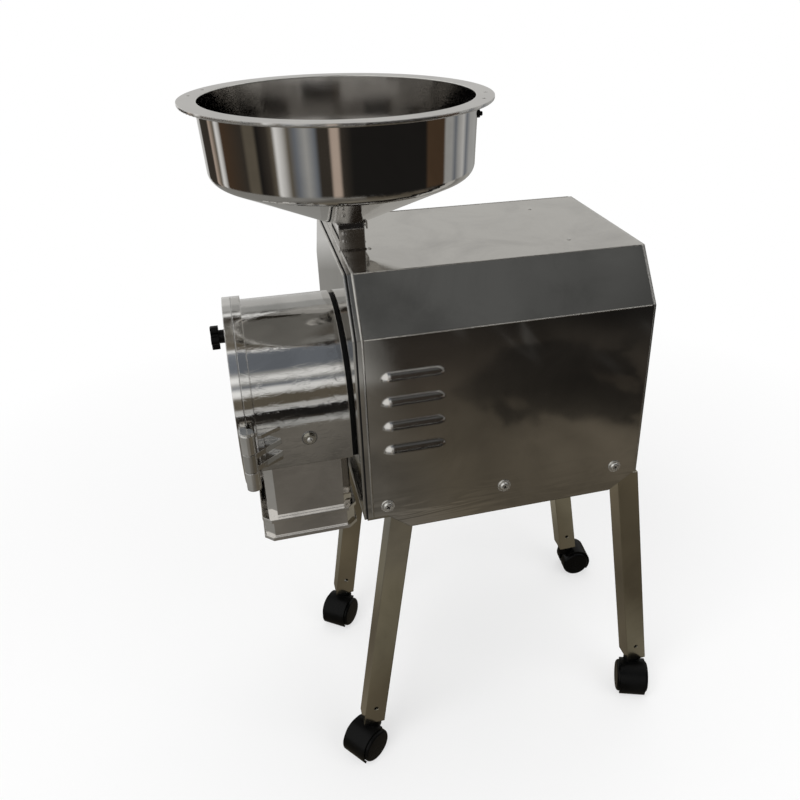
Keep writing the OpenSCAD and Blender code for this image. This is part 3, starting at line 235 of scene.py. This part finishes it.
def steel(name, colour, rough, grain, edge=0.9 * MM, wave=0.05, depth=0.01, scuffs=0.0, axis=None,
          hem=False, metallic=1.0, dull_inside=0.0, swell_scale=SWELL_SCALE):
    """Stainless steel with fine grain, smudges, slight waviness and softened edges.

    rough is the range of its roughness. grain gives the grain's lines to a metre along three axes,
    or along radius, angle and length where the piece is turned about an axis. edge is the radius
    of softened edges. wave, depth and scuffs are strengths of bump, hem adds buckles low on the
    cover, and dull_inside is added to the roughness of the bowl's inside, where the colour is also
    darkened by painted shade.
    """
    material, tree = new_material(name)
    place = object_place(tree)
    grain_place = turned_place(tree, place, *axis) if axis else place
    fine = noise(tree, stretched(tree, grain_place, grain), 1.0, detail=3.0)
    smudge = noise(tree, place, SMUDGE_SCALE, detail=6.0, roughness=0.62, distortion=0.6)
    spots = noise(tree, place, SPOT_SCALE, detail=3.0, roughness=0.5)
    swell = noise(tree, place, swell_scale, detail=1.0, roughness=0.4)
    dark, light = shades(colour, *STEEL_SHADES)
    tint = ramp(tree, smudge, list(zip(STEEL_STOPS, (dark, colour, light))))
    stains = math_node(tree, "ADD", math_node(tree, "MULTIPLY", smudge, SMUDGE_SHARE),
                       math_node(tree, "MULTIPLY", spots, 1 - SMUDGE_SHARE))
    roughness = between(tree, stains, *STAIN_SPAN, *rough)
    if dull_inside:
        inside = inner_side(tree, place, BOWL_MID.y)
        dull = math_node(tree, "MULTIPLY", inside, dull_inside)
        roughness = math_node(tree, "ADD", roughness, dull)
        painted_shade = (*shades(colour, PAINTED_SHADE_LEVEL, 1.0)[0], 1)
        tint = mixed(tree, math_node(tree, "MULTIPLY", inside, PAINTED_SHADE_INSIDE), tint, painted_shade)
    normal = bump(tree, swell, wave, SWELL_DEPTH, softened(tree, edge))
    normal = bump(tree, fine, depth, GRAIN_DEPTH, normal)
    if scuffs:
        dents = noise(tree, stretched(tree, place, DENT_STRETCH), 1.0, detail=5.0, roughness=0.65,
                      distortion=0.8)
        normal = bump(tree, ramp(tree, dents, DENT_STOPS), scuffs, DENT_DEPTH, normal)
    if hem:
        low = falling(tree, parts_of(tree, place)["Z"], HEM_SPAN)
        buckles = noise(tree, stretched(tree, place, BUCKLE_STRETCH), 1.0, detail=2.0,
                        roughness=0.4, distortion=0.8)
        normal = bump(tree, math_node(tree, "MULTIPLY", low, buckles), BUCKLE_STRENGTH,
                      BUCKLE_DEPTH, normal)
    shader = node(tree, "BsdfPrincipled", {"Base Color": tint, "Metallic": metallic,
                                           "Roughness": roughness, "Normal": normal})
    set_surface(tree, shader.outputs["BSDF"])
    return material


def coated(name, colour, rough, grain_scale, relief, specular=0.5):
    """Plastic, rubber or enamel: moulded grain, and blotches that differ in shade and shine."""
    material, tree = new_material(name)
    place = object_place(tree)
    grain = noise(tree, place, grain_scale, roughness=0.6)
    blotches = noise(tree, place, BLOTCH_SCALE, roughness=0.6)
    dark, light = shades(colour, *COAT_SHADES)
    tint = ramp(tree, blotches, list(zip(COAT_STOPS, (dark, colour, light))))
    normal = bump(tree, grain, relief, MOULD_DEPTH, softened(tree, MOULD_EDGE))
    roughness = between(tree, blotches, *BLOTCH_SPAN, *rough)
    shader = node(tree, "BsdfPrincipled", {"Base Color": tint, "Metallic": 0.0,
                                           "Roughness": roughness, "Normal": normal,
                                           "Specular IOR Level": specular})
    set_surface(tree, shader.outputs["BSDF"])
    return material


BOWL_AXIS = ("Y", BOWL_MID.y, "Z")
SHAFT_AXIS = ("Z", AXIS_Z, "Y")
JET = (0.002, 0.002, 0.002)
sheet_steel = steel("sheet_steel", colour=(0.60, 0.585, 0.555), rough=(0.035, 0.10),
                    grain=(40, 400, 40), edge=2.2 * MM, depth=0.004, hem=True)
bowl_steel = steel("bowl_steel", colour=(0.62, 0.605, 0.585), rough=(0.02, 0.06),
                   grain=(900, 1.2, 900), edge=1.6 * MM, wave=0.03, depth=0.0015, axis=BOWL_AXIS,
                   dull_inside=0.045)
cast_steel = steel("cast_steel", colour=(0.61, 0.60, 0.58), rough=(0.03, 0.09),
                   grain=(380, 30, 380), edge=1.3 * MM, wave=0.07, scuffs=0.04,
                   swell_scale=RIPPLE_SCALE)
door_steel = steel("door_steel", colour=(0.80, 0.79, 0.77), rough=(0.07, 0.16),
                   grain=(1400, 0.9, 300), edge=1.3 * MM, depth=0.05, axis=SHAFT_AXIS)
outlet_steel = steel("outlet_steel", colour=(0.76, 0.74, 0.715), rough=(0.05, 0.12),
                     grain=(260, 260, 20), edge=1.0 * MM, scuffs=0.03)
leg_steel = steel("leg_steel", colour=(0.52, 0.49, 0.41), rough=(0.10, 0.19), grain=(60, 60, 9),
                  edge=1.8 * MM)
bright_steel = steel("bright_steel", colour=(0.72, 0.71, 0.68), rough=(0.12, 0.24),
                     grain=(300, 300, 300), edge=0.4 * MM, metallic=0.92)
bolt_steel = steel("bolt_steel", colour=(0.50, 0.485, 0.44), rough=(0.06, 0.15),
                   grain=(300, 300, 300), edge=0.4 * MM)
hard_steel = steel("hard_steel", colour=(0.30, 0.295, 0.29), rough=(0.30, 0.48),
                   grain=(220, 220, 220), wave=0.1, scuffs=0.2)
turned_steel = steel("turned_steel", colour=(0.56, 0.555, 0.55), rough=(0.18, 0.30),
                     grain=(40, 900, 40))
black_plastic = coated("black_plastic", colour=JET, rough=(0.26, 0.42), grain_scale=900.0,
                       relief=0.08, specular=0.12)
wheel_plastic = coated("wheel_plastic", colour=JET, rough=(0.20, 0.34), grain_scale=700.0,
                       relief=0.05, specular=0.12)
black_rubber = coated("black_rubber", colour=(0.006, 0.006, 0.006), rough=(0.55, 0.8),
                      grain_scale=500.0, relief=0.2, specular=0.15)
motor_enamel = coated("motor_enamel", colour=(0.10, 0.125, 0.15), rough=(0.30, 0.5),
                      grain_scale=260.0, relief=0.12)
red_plastic = coated("red_plastic", colour=(0.45, 0.02, 0.02), rough=(0.2, 0.35),
                     grain_scale=600.0, relief=0.05)
pale_plastic = coated("pale_plastic", colour=(0.70, 0.69, 0.65), rough=(0.35, 0.5),
                      grain_scale=500.0, relief=0.06)

# What the record's material slots look like, and the nodes that look otherwise
SLOT_LOOKS = {"polished_steel": sheet_steel, "cast_steel": cast_steel, "leg_steel": leg_steel,
              "zinc_fixings": bright_steel, "hard_steel": hard_steel, "shaft_steel": turned_steel,
              "motor_paint": motor_enamel, "black_rubber": black_rubber,
              "black_plastic": black_plastic, "wheel_plastic": wheel_plastic,
              "red_plastic": red_plastic, "white_plastic": pale_plastic}
NODE_LOOKS = {"hopper_bowl": bowl_steel, "neck_collar": bowl_steel, "outlet_spout": outlet_steel,
              "mill_door": door_steel, "side_bolts": bolt_steel}

for entry in frame["record"]["subparts"]:
    name = entry["node"]
    data = frame["nodes"][name].data
    data.materials.clear()
    data.materials.append(NODE_LOOKS.get(name, SLOT_LOOKS[entry["material_slot"]]))


# Makers of meshes and profiles for the detail pieces

SHARP_ANGLE = math.radians(35)
TINY = 1e-7
# A wire widens at a turn of its path, up to this limit of the squared cosine of half the turn
TURN_LIMIT = 0.2
# Shares: a recess's floor to its mouth, a dome's rim to its height, a washer's cut to its height
RECESS_TAPER = 0.9
DOME_RIM = 0.3
WASHER_CUT = 0.3


def add_piece(name, mesh_maker, material, body, place):
    """Makes a mesh piece, puts it where place says, and lets it ride on a body."""
    mesh = bpy.data.meshes.new(name)
    shape = bmesh.new()
    mesh_maker(shape)
    bmesh.ops.remove_doubles(shape, verts=shape.verts, dist=TINY)
    bmesh.ops.recalc_face_normals(shape, faces=shape.faces)
    shape.to_mesh(mesh)
    shape.free()
    mesh.materials.append(material)
    mesh.shade_smooth()
    mesh.set_sharp_from_angle(angle=SHARP_ANGLE)
    piece = bpy.data.objects.new(name, mesh)
    scene.collection.objects.link(piece)
    piece.matrix_world = place
    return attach(piece, body)


def facing(point, direction, spin=0.0):
    """Matrix that puts local Z along direction at point."""
    turn = Vector(direction).to_track_quat("Z", "Y").to_matrix().to_4x4()
    return Matrix.Translation(Vector(point)) @ turn @ Matrix.Rotation(spin, 4, "Z")


def circle(steps):
    """Angles of a circle's steps."""
    return [2 * math.pi * i / steps for i in range(steps)]


def join_rings(shape, rings):
    """Faces between rings of as many points, or of one point."""
    steps = max(len(ring) for ring in rings)
    for low, high in zip(rings, rings[1:]):
        for i in range(steps):
            k = (i + 1) % steps
            corners = [low[i % len(low)], low[k % len(low)],
                       high[k % len(high)], high[i % len(high)]]
            unique = list(dict.fromkeys(corners))
            if len(unique) > 2:
                shape.faces.new(unique)


def close_ends(shape, rings):
    shape.faces.new(rings[0])
    shape.faces.new(rings[-1][::-1])


def lathe(profile, steps=28):
    """Mesh maker: turns (radius, height) points about Z."""
    def make(shape):
        rings = []
        for r, h in profile:
            turns = circle(steps) if r > TINY else [0.0]
            rings.append([shape.verts.new((r * math.cos(a), r * math.sin(a), h)) for a in turns])
        join_rings(shape, rings)
    return make


def swept(path, radius, steps=8):
    """Mesh maker: a round wire with closed ends along points in one plane of constant y."""
    def make(shape):
        points = [Vector(p) for p in path]
        last = len(points) - 1
        rings = []
        for i, point in enumerate(points):
            before, after = points[max(i - 1, 0)], points[min(i + 1, last)]
            out = (after - before).normalized().cross(Vector((0, 1, 0))).normalized()
            turn = 1.0
            if 0 < i < last:
                turn = (point - before).normalized().dot((after - point).normalized())
            wide = radius / math.sqrt(max(TURN_LIMIT, (1 + turn) / 2))
            rings.append([shape.verts.new(point + out * (wide * math.cos(a))
                                          + Vector((0, radius * math.sin(a), 0)))
                          for a in circle(steps)])
        join_rings(shape, rings)
        close_ends(shape, rings)
    return make


def around(half_w, half_d, profile):
    """Mesh maker: a profile of (distance out, height) points led round a rectangle."""
    def make(shape):
        corners = ((1, 1), (-1, 1), (-1, -1), (1, -1))
        rings = [[shape.verts.new((x * (half_w + out), y * (half_d + out), height))
                  for x, y in corners] for out, height in profile]
        join_rings(shape, rings)
    return make


def cross(arm, width, depth):
    """Mesh maker: the cross of a screw's recess, standing on z = 0."""
    def make(shape):
        a, w = arm, width / 2
        outline = [(a, w), (w, w), (w, a), (-w, a), (-w, w), (-a, w),
                   (-a, -w), (-w, -w), (-w, -a), (w, -a), (w, -w), (a, -w)]
        rings = [[shape.verts.new((x * share, y * share, z)) for x, y in outline]
                 for share, z in ((1.0, 0.0), (RECESS_TAPER, depth))]
        join_rings(shape, rings)
        close_ends(shape, rings)
    return make


def dome(radius, height, steps=6):
    """Closed profile of a low domed head, from the middle of its foot over the rim to its top."""
    turns = [math.pi / 2 * i / steps for i in range(steps)]
    bow = [(radius * math.cos(a), height * (DOME_RIM + (1 - DOME_RIM) * math.sin(a))) for a in turns]
    return [(0.0, 0.0), (radius, 0.0)] + bow + [(0.0, height)]


def flat_ring(inner, outer, height):
    """Closed profile of a flat washer with softened outer corners."""
    cut = height * WASHER_CUT
    return [(inner, 0.0), (inner, height), (outer - cut, height), (outer, height - cut),
            (outer, 0.0), (inner, 0.0)]


# Recesses of the six screws that hold the cover to the tray, as raised black crosses of painted
# shade, each turned by another spin, and washers under these screws

COVER_LEN = 305 * MM
SCREW_YS = (FRONT_Y + 22 * MM, FRONT_Y + 0.49 * COVER_LEN, FRONT_Y + COVER_LEN - 26 * MM)
SCREW_Z = TRAY_Z + 16 * MM
SCREW_TOP = 3.2 * MM
RECESS_ARM = 2.6 * MM
RECESS_WIDTH = 1.2 * MM
RECESS_DEPTH = 0.25 * MM
RECESS_X = HALF_W + SCREW_TOP - 0.15 * MM
FIRST_SPIN, NEXT_SPIN = 0.5, 0.7
COVER_WASHER = flat_ring(5.1 * MM, 7.2 * MM, 1.1 * MM)
for side, tag in SIDES:
    for i, y in enumerate(SCREW_YS):
        spin = FIRST_SPIN + NEXT_SPIN * i
        add_piece(f"cover_recess_{tag}{i}", cross(RECESS_ARM, RECESS_WIDTH, RECESS_DEPTH),
                  black_rubber, "housing",
                  facing((side * RECESS_X, y, SCREW_Z), (side, 0, 0), spin))
for side, tag in SIDES:
    for i, y in enumerate(SCREW_YS):
        add_piece(f"cover_washer_{tag}{i}", lathe(COVER_WASHER), bright_steel, "housing",
                  facing((side * HALF_W, y, SCREW_Z), (side, 0, 0)))

# Turned edge round the cover's front
TOP_HALF = 93.5 * MM
SHOULDER_Z = TOP_Z - 52 * MM
BEAD_R = 1.3 * MM
BEAD_IN = 6 * MM
MOUTH = [(HALF_W, TRAY_Z + 4 * MM), (HALF_W, SHOULDER_Z), (TOP_HALF, TOP_Z)]
mouth_path = [(x, 0, z) for x, z in MOUTH] + [(-x, 0, z) for x, z in reversed(MOUTH)]
add_piece("cover_bead", swept(mouth_path, BEAD_R), sheet_steel, "housing",
          Matrix.Translation((0, FRONT_Y + BEAD_IN, 0)))

# Creases along the cover's four folds, sunk into them
CREASE_R = 0.7 * MM
CREASE_SUNK = 0.3 * CREASE_R
CREASE_FROM = FRONT_Y + BEAD_IN + 1 * MM
crease_len = COVER_HIGH.y - 2 * MM - CREASE_FROM
crease_end = [(0.0, 0.0), (0.7 * CREASE_R, 0.3 * CREASE_R), (CREASE_R, CREASE_R)]
crease = crease_end + [(r, crease_len - h) for r, h in reversed(crease_end)]
for side, tag in SIDES:
    for x, z, part in ((TOP_HALF, TOP_Z, "top"), (HALF_W, SHOULDER_Z, "side")):
        add_piece(f"fold_crease_{part}_{tag}", lathe(crease, steps=12), sheet_steel, "housing",
                  facing((side * (x - CREASE_SUNK), CREASE_FROM, z - CREASE_SUNK), (0, 1, 0)))

# Spring washers round the bolts of the chamber's sides, dark as a painted shadow round each head,
# and the bolts' rounded ends
SIDE_HEAD_H = 4 * MM
SIDE_WASHER = flat_ring(5.0 * MM, 7.9 * MM, 0.8 * MM)
SIDE_END = dome(3.0 * MM, 1.8 * MM)
for side, tag in SIDES:
    top = Vector((side * SIDE_HIGH.x, SIDE_MID.y, SIDE_MID.z))
    out = Vector((side, 0, 0))
    add_piece("side_shadow_washer_" + tag, lathe(SIDE_WASHER), hard_steel, "housing",
              facing(top - out * SIDE_HEAD_H, out))
    add_piece("side_stud_" + tag, lathe(SIDE_END), bright_steel, "housing",
              facing(top, out))

# Black line of painted shadow in the gap between the cover and its front plate
SEAM_R = 0.9 * MM
add_piece("plate_seam", swept(mouth_path, SEAM_R), black_rubber, "housing",
          Matrix.Translation((0, FRONT_Y, 0)))

# Weld bead round the foot of the neck
NECK_HALF_W = 27 * MM
NECK_HALF_D = 13 * MM
NECK_Y = (NECK_LOW.y + NECK_HIGH.y) / 2
NECK_BEAD = flat_ring(0.0, 1.0 * MM, 1.4 * MM)
add_piece("neck_foot", around(NECK_HALF_W, NECK_HALF_D, NECK_BEAD), bowl_steel, "housing",
          Matrix.Translation((0, NECK_Y, TOP_Z)))

# Stud under the bowl's flange, as radii and heights in mm
STUD_MM = [(0.0, 0.0), (4.0, 0.0), (4.0, 3.4), (3.5, 4.0), (2.2, 4.0), (2.2, 5.8), (1.6, 6.4),
           (0.0, 6.4)]
STUD_TURN = math.radians(76)
STUD_OUT = Vector((math.cos(STUD_TURN), math.sin(STUD_TURN), 0))
STUD_DOWN = 19 * MM
STUD_SUNK = 0.6 * MM
BOWL_R = 131 * MM
STUD_FOOT = Vector((0, BOWL_MID.y, BOWL_HIGH.z - STUD_DOWN)) + STUD_OUT * (BOWL_R - STUD_SUNK)
stud = [(r * MM, h * MM) for r, h in STUD_MM]
add_piece("bowl_stud", lathe(stud, steps=12), black_plastic, "housing",
          facing(STUD_FOOT, STUD_OUT))

# Rounded lip of the bowl's mouth, in a lighter steel than the bowl's as a painted highlight line
LIP_R = 0.9 * MM
lip_turns = circle(12) + [2 * math.pi]
lip = [(BOWL_R + LIP_R * math.cos(a), LIP_R * math.sin(a)) for a in lip_turns]
add_piece("bowl_lip", lathe(lip, steps=128), bright_steel, "housing",
          Matrix.Translation((0, BOWL_MID.y, BOWL_HIGH.z - LIP_R)))

# Rivets on the flat top, in mm from the middle and from the front
RIVETS_MM = ((3, 34), (27, 35), (57, 239), (-57, 239))
RIVET_HEAD = dome(2.0 * MM, 1.2 * MM)
for i, (x, y) in enumerate(RIVETS_MM):
    add_piece(f"top_rivet_{i}", lathe(RIVET_HEAD), bright_steel, "housing",
              facing((x * MM, FRONT_Y + y * MM, TOP_Z), (0, 0, 1)))

# Screws round the rear plate, in mm from the middle and up from the tray, with raised black crosses
# of painted shade for their recesses
REAR_SCREWS_MM = ((-118, 30), (118, 30), (-118, 165), (118, 165), (-60, 249), (60, 249))
PAN_R = 4.2 * MM
PAN_H = 2.4 * MM
PAN_RECESS_Y = REAR_Y + PAN_H - 0.2 * MM
PAN_RECESS = (0.52 * PAN_R, 0.26 * PAN_R, RECESS_DEPTH)
FIRST_PAN_SPIN = 0.3
REARWARD = (0, 1, 0)
for i, (x, up) in enumerate(REAR_SCREWS_MM):
    spin = FIRST_PAN_SPIN + i
    z = TRAY_Z + up * MM
    add_piece(f"rear_screw_{i}", lathe(dome(PAN_R, PAN_H)), bright_steel, "housing",
              facing((x * MM, REAR_Y, z), REARWARD, spin))
    add_piece(f"rear_screw_{i}_recess", cross(*PAN_RECESS), black_rubber, "housing",
              facing((x * MM, PAN_RECESS_Y, z), REARWARD, spin))


# Stage: floor, glowing pieces of painted reflections, and lamps

def stage_mesh(name, mesh_maker, material, z=0.0):
    mesh = bpy.data.meshes.new(name)
    shape = bmesh.new()
    mesh_maker(shape)
    shape.to_mesh(mesh)
    shape.free()
    mesh.materials.append(material)
    made = bpy.data.objects.new(name, mesh)
    made.location.z = z
    scene.collection.objects.link(made)
    return made


def only_in_reflections(made):
    made.visible_camera = False
    made.visible_diffuse = False
    made.visible_shadow = False
    made.visible_transmission = False
    made.visible_volume_scatter = False


# The floor glows white where it is seen, less so near the mill, where its shadow shows
FLOOR_HALF = 40.0
FLOOR_COLOUR = (0.86, 0.86, 0.86)
SHADOW_SPAN = (0.45, 1.2)
WHITE_NEAR = 0.6


def floor_material():
    """Pale floor: white to the camera and in reflections, with the shadow kept near the object."""
    material, tree = new_material("pale_floor")
    far = measure(tree, "LENGTH", object_place(tree))
    white = math_node(tree, "MULTIPLY", seen_rays(tree),
                      between(tree, far, *SHADOW_SPAN, WHITE_NEAR, 1.0))
    matte = node(tree, "BsdfDiffuse", {"Color": (*FLOOR_COLOUR, 1)}).outputs["BSDF"]
    glow = node(tree, "Emission", {"Color": (1, 1, 1, 1), "Strength": 1.0}).outputs["Emission"]
    set_surface(tree, node(tree, "MixShader", {0: white, 1: matte, 2: glow}).outputs[0])
    return material


def floor_mesh(shape):
    bmesh.ops.create_grid(shape, x_segments=1, y_segments=1, size=FLOOR_HALF)


stage_mesh("floor", floor_mesh, floor_material())


def glow_material(name, colour_of):
    """Plain emission whose colour is worked out from the object's own coordinates."""
    material, tree = new_material(name)
    glow = node(tree, "Emission", {"Color": colour_of(tree, object_place(tree)), "Strength": 1.0})
    set_surface(tree, glow.outputs["Emission"])
    return material


# Painted reflections: the dim room that the polished steel shows, laid out in a few plain tones
# on glowing pieces that are seen only in reflections
BLACK = (0.015, 0.014, 0.013)
DARK = (0.045, 0.038, 0.031)
WOOD = (0.075, 0.047, 0.028)
COPPER = (0.52, 0.42, 0.35)
BROWN = (0.13, 0.112, 0.085)
SLATE = (0.10, 0.102, 0.102)
TAUPE = (0.13, 0.12, 0.105)
OLIVE = (0.20, 0.184, 0.147)
GREY = (0.17, 0.185, 0.21)
DUSK = (0.27, 0.265, 0.25)
MID = (0.40, 0.40, 0.39)
PALE = (0.58, 0.575, 0.56)
LIGHT = (0.92, 0.92, 0.91)

ROOM_RADIUS = 9.0
ROOM_FLOOR_Z = 2 * MM
# Its far floor in rays about the bowl's axis, in degrees: dark, with painted streaks of light.
# A ramp holds 32 stops at most, so the rays come in two parts.
LEFT_RAYS = [(-180, PALE), (-158, PALE), (-155, DARK), (-137, DARK), (-134, COPPER), (-127, BROWN),
             (-123, LIGHT), (-119, PALE), (-116, WOOD), (-92, DARK), (-88, BROWN), (-80, BROWN),
             (-77, BLACK), (-68, DARK), (-63, BROWN), (-60, LIGHT), (-55, PALE), (-50, BROWN),
             (-44, GREY), (-36, MID), (-29, GREY), (-26, DARK), (-18, DARK), (-16, COPPER),
             (-11, COPPER), (-9, DARK), (0, BLACK), (62, BLACK), (65, WOOD)]
RIGHT_RAYS = [(65, WOOD), (82, WOOD), (85, MID), (93, MID), (98, GREY), (103, MID), (111, PALE),
              (117, GREY), (125, MID), (140, MID), (165, BROWN), (180, PALE)]
RAYS_PART = RIGHT_RAYS[0][0]
RAYS_FROM = (1.6, 1.9)
# Its near floor by distance, beside the mill and in front of it, and where one turns into the other.
# The brown closest to the mill is a painted shadow of the mill
SIDE_FLOOR = [(0.0, BROWN), (0.24, BROWN), (0.30, OLIVE), (0.34, OLIVE), (0.42, BROWN),
              (0.72, BROWN), (1.1, DARK), (1.5, BLACK)]
FRONT_FLOOR = [(0.0, BROWN), (0.24, BROWN), (0.30, OLIVE), (0.40, OLIVE), (0.46, TAUPE),
               (1.04, TAUPE), (1.09, MID), (1.50, MID), (1.55, DARK)]
NEAR_REACH = 1.8
FRONT_TO_SIDE_Y = (-0.02, 0.12)
# Blobs all over it, and thin lines of painted glare further out
BLOBS = [(0.32, 0.6), (0.5, 1.0), (0.68, 1.6)]
BLOB_SCALE = 3.2
BLOB_SHARE = 0.8
GLARE = [(0.56, 0.0), (0.60, 0.05), (0.64, 0.0)]
GLARE_STRETCH = (0.9, 7.0, 1.0)
GLARE_FROM = (0.9, 1.2)
# A painted dark reflection on it: a patch with a ragged edge
PATCH_AT = (0.97, 0.47, 0.0)
PATCH_EDGE = (0.17, 0.21)
PATCH_RAGGED = 0.14
RAGGED_SCALE = 5.0
RAGGED_SPAN = (0.3, 0.7)
PATCH_SHARE = 0.7
# It is lighter before the mill's front and past its left side, as painted reflected light
LIGHTER_FRONT_Y = (-0.6, -0.35)
LIGHTER_LEFT_X = (-0.45, -0.25)


def ray_ramp(tree, turn, rays):
    """Ramp over an angle in radians from (degrees, tone) stops."""
    first, last = rays[0][0], rays[-1][0]
    share = rising(tree, turn, (math.radians(first), math.radians(last)))
    return ramp(tree, share, [((angle - first) / (last - first), tone) for angle, tone in rays])


def painted_reflection_floor_colour(tree, place):
    parts = parts_of(tree, place)
    along = math_node(tree, "SUBTRACT", parts["Y"], BOWL_MID.y)
    turn = math_node(tree, "ARCTAN2", along, parts["X"])
    to_right = math_node(tree, "GREATER_THAN", turn, math.radians(RAYS_PART))
    rays = mixed(tree, to_right, ray_ramp(tree, turn, LEFT_RAYS), ray_ramp(tree, turn, RIGHT_RAYS))
    reach = measure(tree, "LENGTH", place)
    near_share = rising(tree, reach, (0.0, NEAR_REACH))
    beside = ramp(tree, near_share, [(r / NEAR_REACH, tone) for r, tone in SIDE_FLOOR])
    in_front = ramp(tree, near_share, [(r / NEAR_REACH, tone) for r, tone in FRONT_FLOOR])
    near = mixed(tree, falling(tree, parts["Y"], FRONT_TO_SIDE_Y), beside, in_front)
    blots = noise(tree, place, BLOB_SCALE, detail=3.0, roughness=0.5, distortion=0.5)
    mottled = mixed(tree, BLOB_SHARE, near, ramp(tree, blots, BLOBS), "MULTIPLY")
    lines = noise(tree, stretched(tree, place, GLARE_STRETCH), 1.0, detail=2.0, roughness=0.4,
                  distortion=0.6)
    streaky = mixed(tree, rising(tree, reach, GLARE_FROM), mottled, ramp(tree, lines, GLARE), "ADD")
    away = measure(tree, "DISTANCE", place, PATCH_AT)
    uneven = noise(tree, place, RAGGED_SCALE, roughness=0.6, distortion=0.8)
    ragged = math_node(tree, "ADD", away,
                       between(tree, uneven, *RAGGED_SPAN, -PATCH_RAGGED, PATCH_RAGGED))
    dark_share = between(tree, ragged, *PATCH_EDGE, PATCH_SHARE, 0.0)
    patched = mixed(tree, dark_share, streaky, (*BLACK, 1))
    lighter_side = math_node(tree, "MAXIMUM", falling(tree, parts["Y"], LIGHTER_FRONT_Y),
                          falling(tree, parts["X"], LIGHTER_LEFT_X))
    lit = mixed(tree, lighter_side, patched, (*DUSK, 1))
    return mixed(tree, rising(tree, reach, RAYS_FROM), lit, rays)


def room_floor_mesh(shape):
    bmesh.ops.create_circle(shape, cap_ends=True, segments=64, radius=ROOM_RADIUS)


# Glowing disc seen only in reflections, which paints the reflected floor
only_in_reflections(stage_mesh("room_floor_card", room_floor_mesh,
                               glow_material("room_floor", painted_reflection_floor_colour), ROOM_FLOOR_Z))

WALL_RADIUS = 12.0
WALL_MID_Z = 0.5
# Its walls and ceiling by angle over the mill, in degrees from +X to -X: painted reflections of
# strip lights on plain walls
FRONT_WALLS = [(0, PALE), (3, PALE), (4, BROWN), (16, BROWN), (20, LIGHT), (25, LIGHT), (29, GREY),
               (33, MID), (36, LIGHT), (40, LIGHT), (44, MID), (48, GREY), (71, GREY), (73, LIGHT),
               (75, LIGHT), (76, BROWN), (99, BROWN), (101, LIGHT), (105, LIGHT), (106, DARK),
               (126, DARK), (128, LIGHT), (132, LIGHT), (134, DARK), (138, MID), (150, MID),
               (154, PALE), (180, PALE)]
SIDE_WALLS = [(0, DARK), (36, DARK), (42, SLATE), (54, SLATE), (60, DARK), (64, DARK), (67, LIGHT),
              (120, LIGHT), (125, MID), (138, PALE), (180, PALE)]
# Clouds on the side walls, up to a height in degrees
CLOUDS = [(0.36, 0.55), (0.5, 0.85), (0.64, 1.25)]
CLOUD_SCALE = 5.5
CLOUDS_TO = (90, 108)
# Where the front walls turn into the side walls, and where the light before the mill's front ends,
# by a ray's part along Y
SIDE_FROM_Y = (0.106, 0.116)
FRONT_LIGHT_Y = (-0.30, -0.16)


def painted_reflection_walls_colour(tree, place):
    ray = vector_node(tree, "NORMALIZE", place)
    parts = parts_of(tree, ray)
    over = math_node(tree, "ARCTAN2", parts["Z"], parts["X"])
    front, side = ray_ramp(tree, over, FRONT_WALLS), ray_ramp(tree, over, SIDE_WALLS)
    clouds = noise(tree, ray, CLOUD_SCALE, detail=3.0, roughness=0.5, distortion=0.4)
    cloudy = mixed(tree, 1.0, side, ramp(tree, clouds, CLOUDS), "MULTIPLY")
    clear = rising(tree, over, [math.radians(angle) for angle in CLOUDS_TO])
    beside = mixed(tree, clear, cloudy, side)
    room = mixed(tree, rising(tree, parts["Y"], SIDE_FROM_Y), front, beside)
    return mixed(tree, falling(tree, parts["Y"], FRONT_LIGHT_Y), room, (*LIGHT, 1))


def wall_mesh(shape):
    bmesh.ops.create_uvsphere(shape, u_segments=48, v_segments=24, radius=WALL_RADIUS)


# Glowing sphere seen only in reflections, which paints the reflected walls, ceiling and lights
only_in_reflections(stage_mesh("studio_walls", wall_mesh,
                               glow_material("studio_walls", painted_reflection_walls_colour), WALL_MID_Z))

# The mill's middle, which the lamps face
MIDDLE = Vector((0, -0.05, 0.4))


def lamp(name, point, size, power):
    """Soft square lamp that faces the mill's middle."""
    light = bpy.data.lights.new(name, "AREA")
    light.shape = "SQUARE"
    light.size = size
    light.energy = power
    made = bpy.data.objects.new(name, light)
    scene.collection.objects.link(made)
    made.location = point
    made.rotation_euler = (MIDDLE - Vector(point)).to_track_quat("-Z", "Y").to_euler()
    made.visible_glossy = False


lamp("key_lamp", (1.2, -1.4, 2.4), size=1.6, power=42)
lamp("fill_lamp", (1.6, 1.3, 1.6), size=1.6, power=18)
lamp("top_lamp", (-0.6, 0.2, 2.8), size=2.0, power=30)

# White backdrop that gives a little light
BACKDROP_LIGHT = 0.35
world = bpy.data.worlds.new("studio_world")
scene.world = world
world.use_nodes = True
world_tree = world.node_tree
world_tree.nodes.clear()
strength = between(world_tree, seen_rays(world_tree), 0.0, 1.0, BACKDROP_LIGHT, 1.0)
backdrop = node(world_tree, "Background", {"Color": (1, 1, 1, 1), "Strength": strength})
world_out = node(world_tree, "OutputWorld")
world_tree.links.new(backdrop.outputs["Background"], world_out.inputs["Surface"])

# Camera at the photograph's view, fitted to the straight edges of the housing
CAMERA_AT = (0.78175, -0.20828, TOP_Z + 0.26392)
AZIMUTH, ELEVATION, ROLL = (math.radians(v) for v in (74.07, 27.56, -0.17))
camera_data = bpy.data.cameras.new("photo_camera")
camera_data.sensor_width = 36.0
camera_data.lens = 35.51
camera_data.shift_x = -0.06875
camera_data.shift_y = -0.04375
camera = bpy.data.objects.new("photo_camera", camera_data)
scene.collection.objects.link(camera)
back = Vector((math.sin(AZIMUTH) * math.cos(ELEVATION), -math.cos(AZIMUTH) * math.cos(ELEVATION),
               math.sin(ELEVATION)))
aim = back.to_track_quat("Z", "Y").to_matrix().to_4x4()
camera.matrix_world = Matrix.Translation(CAMERA_AT) @ aim @ Matrix.Rotation(ROLL, 4, "Z")
scene.camera = camera
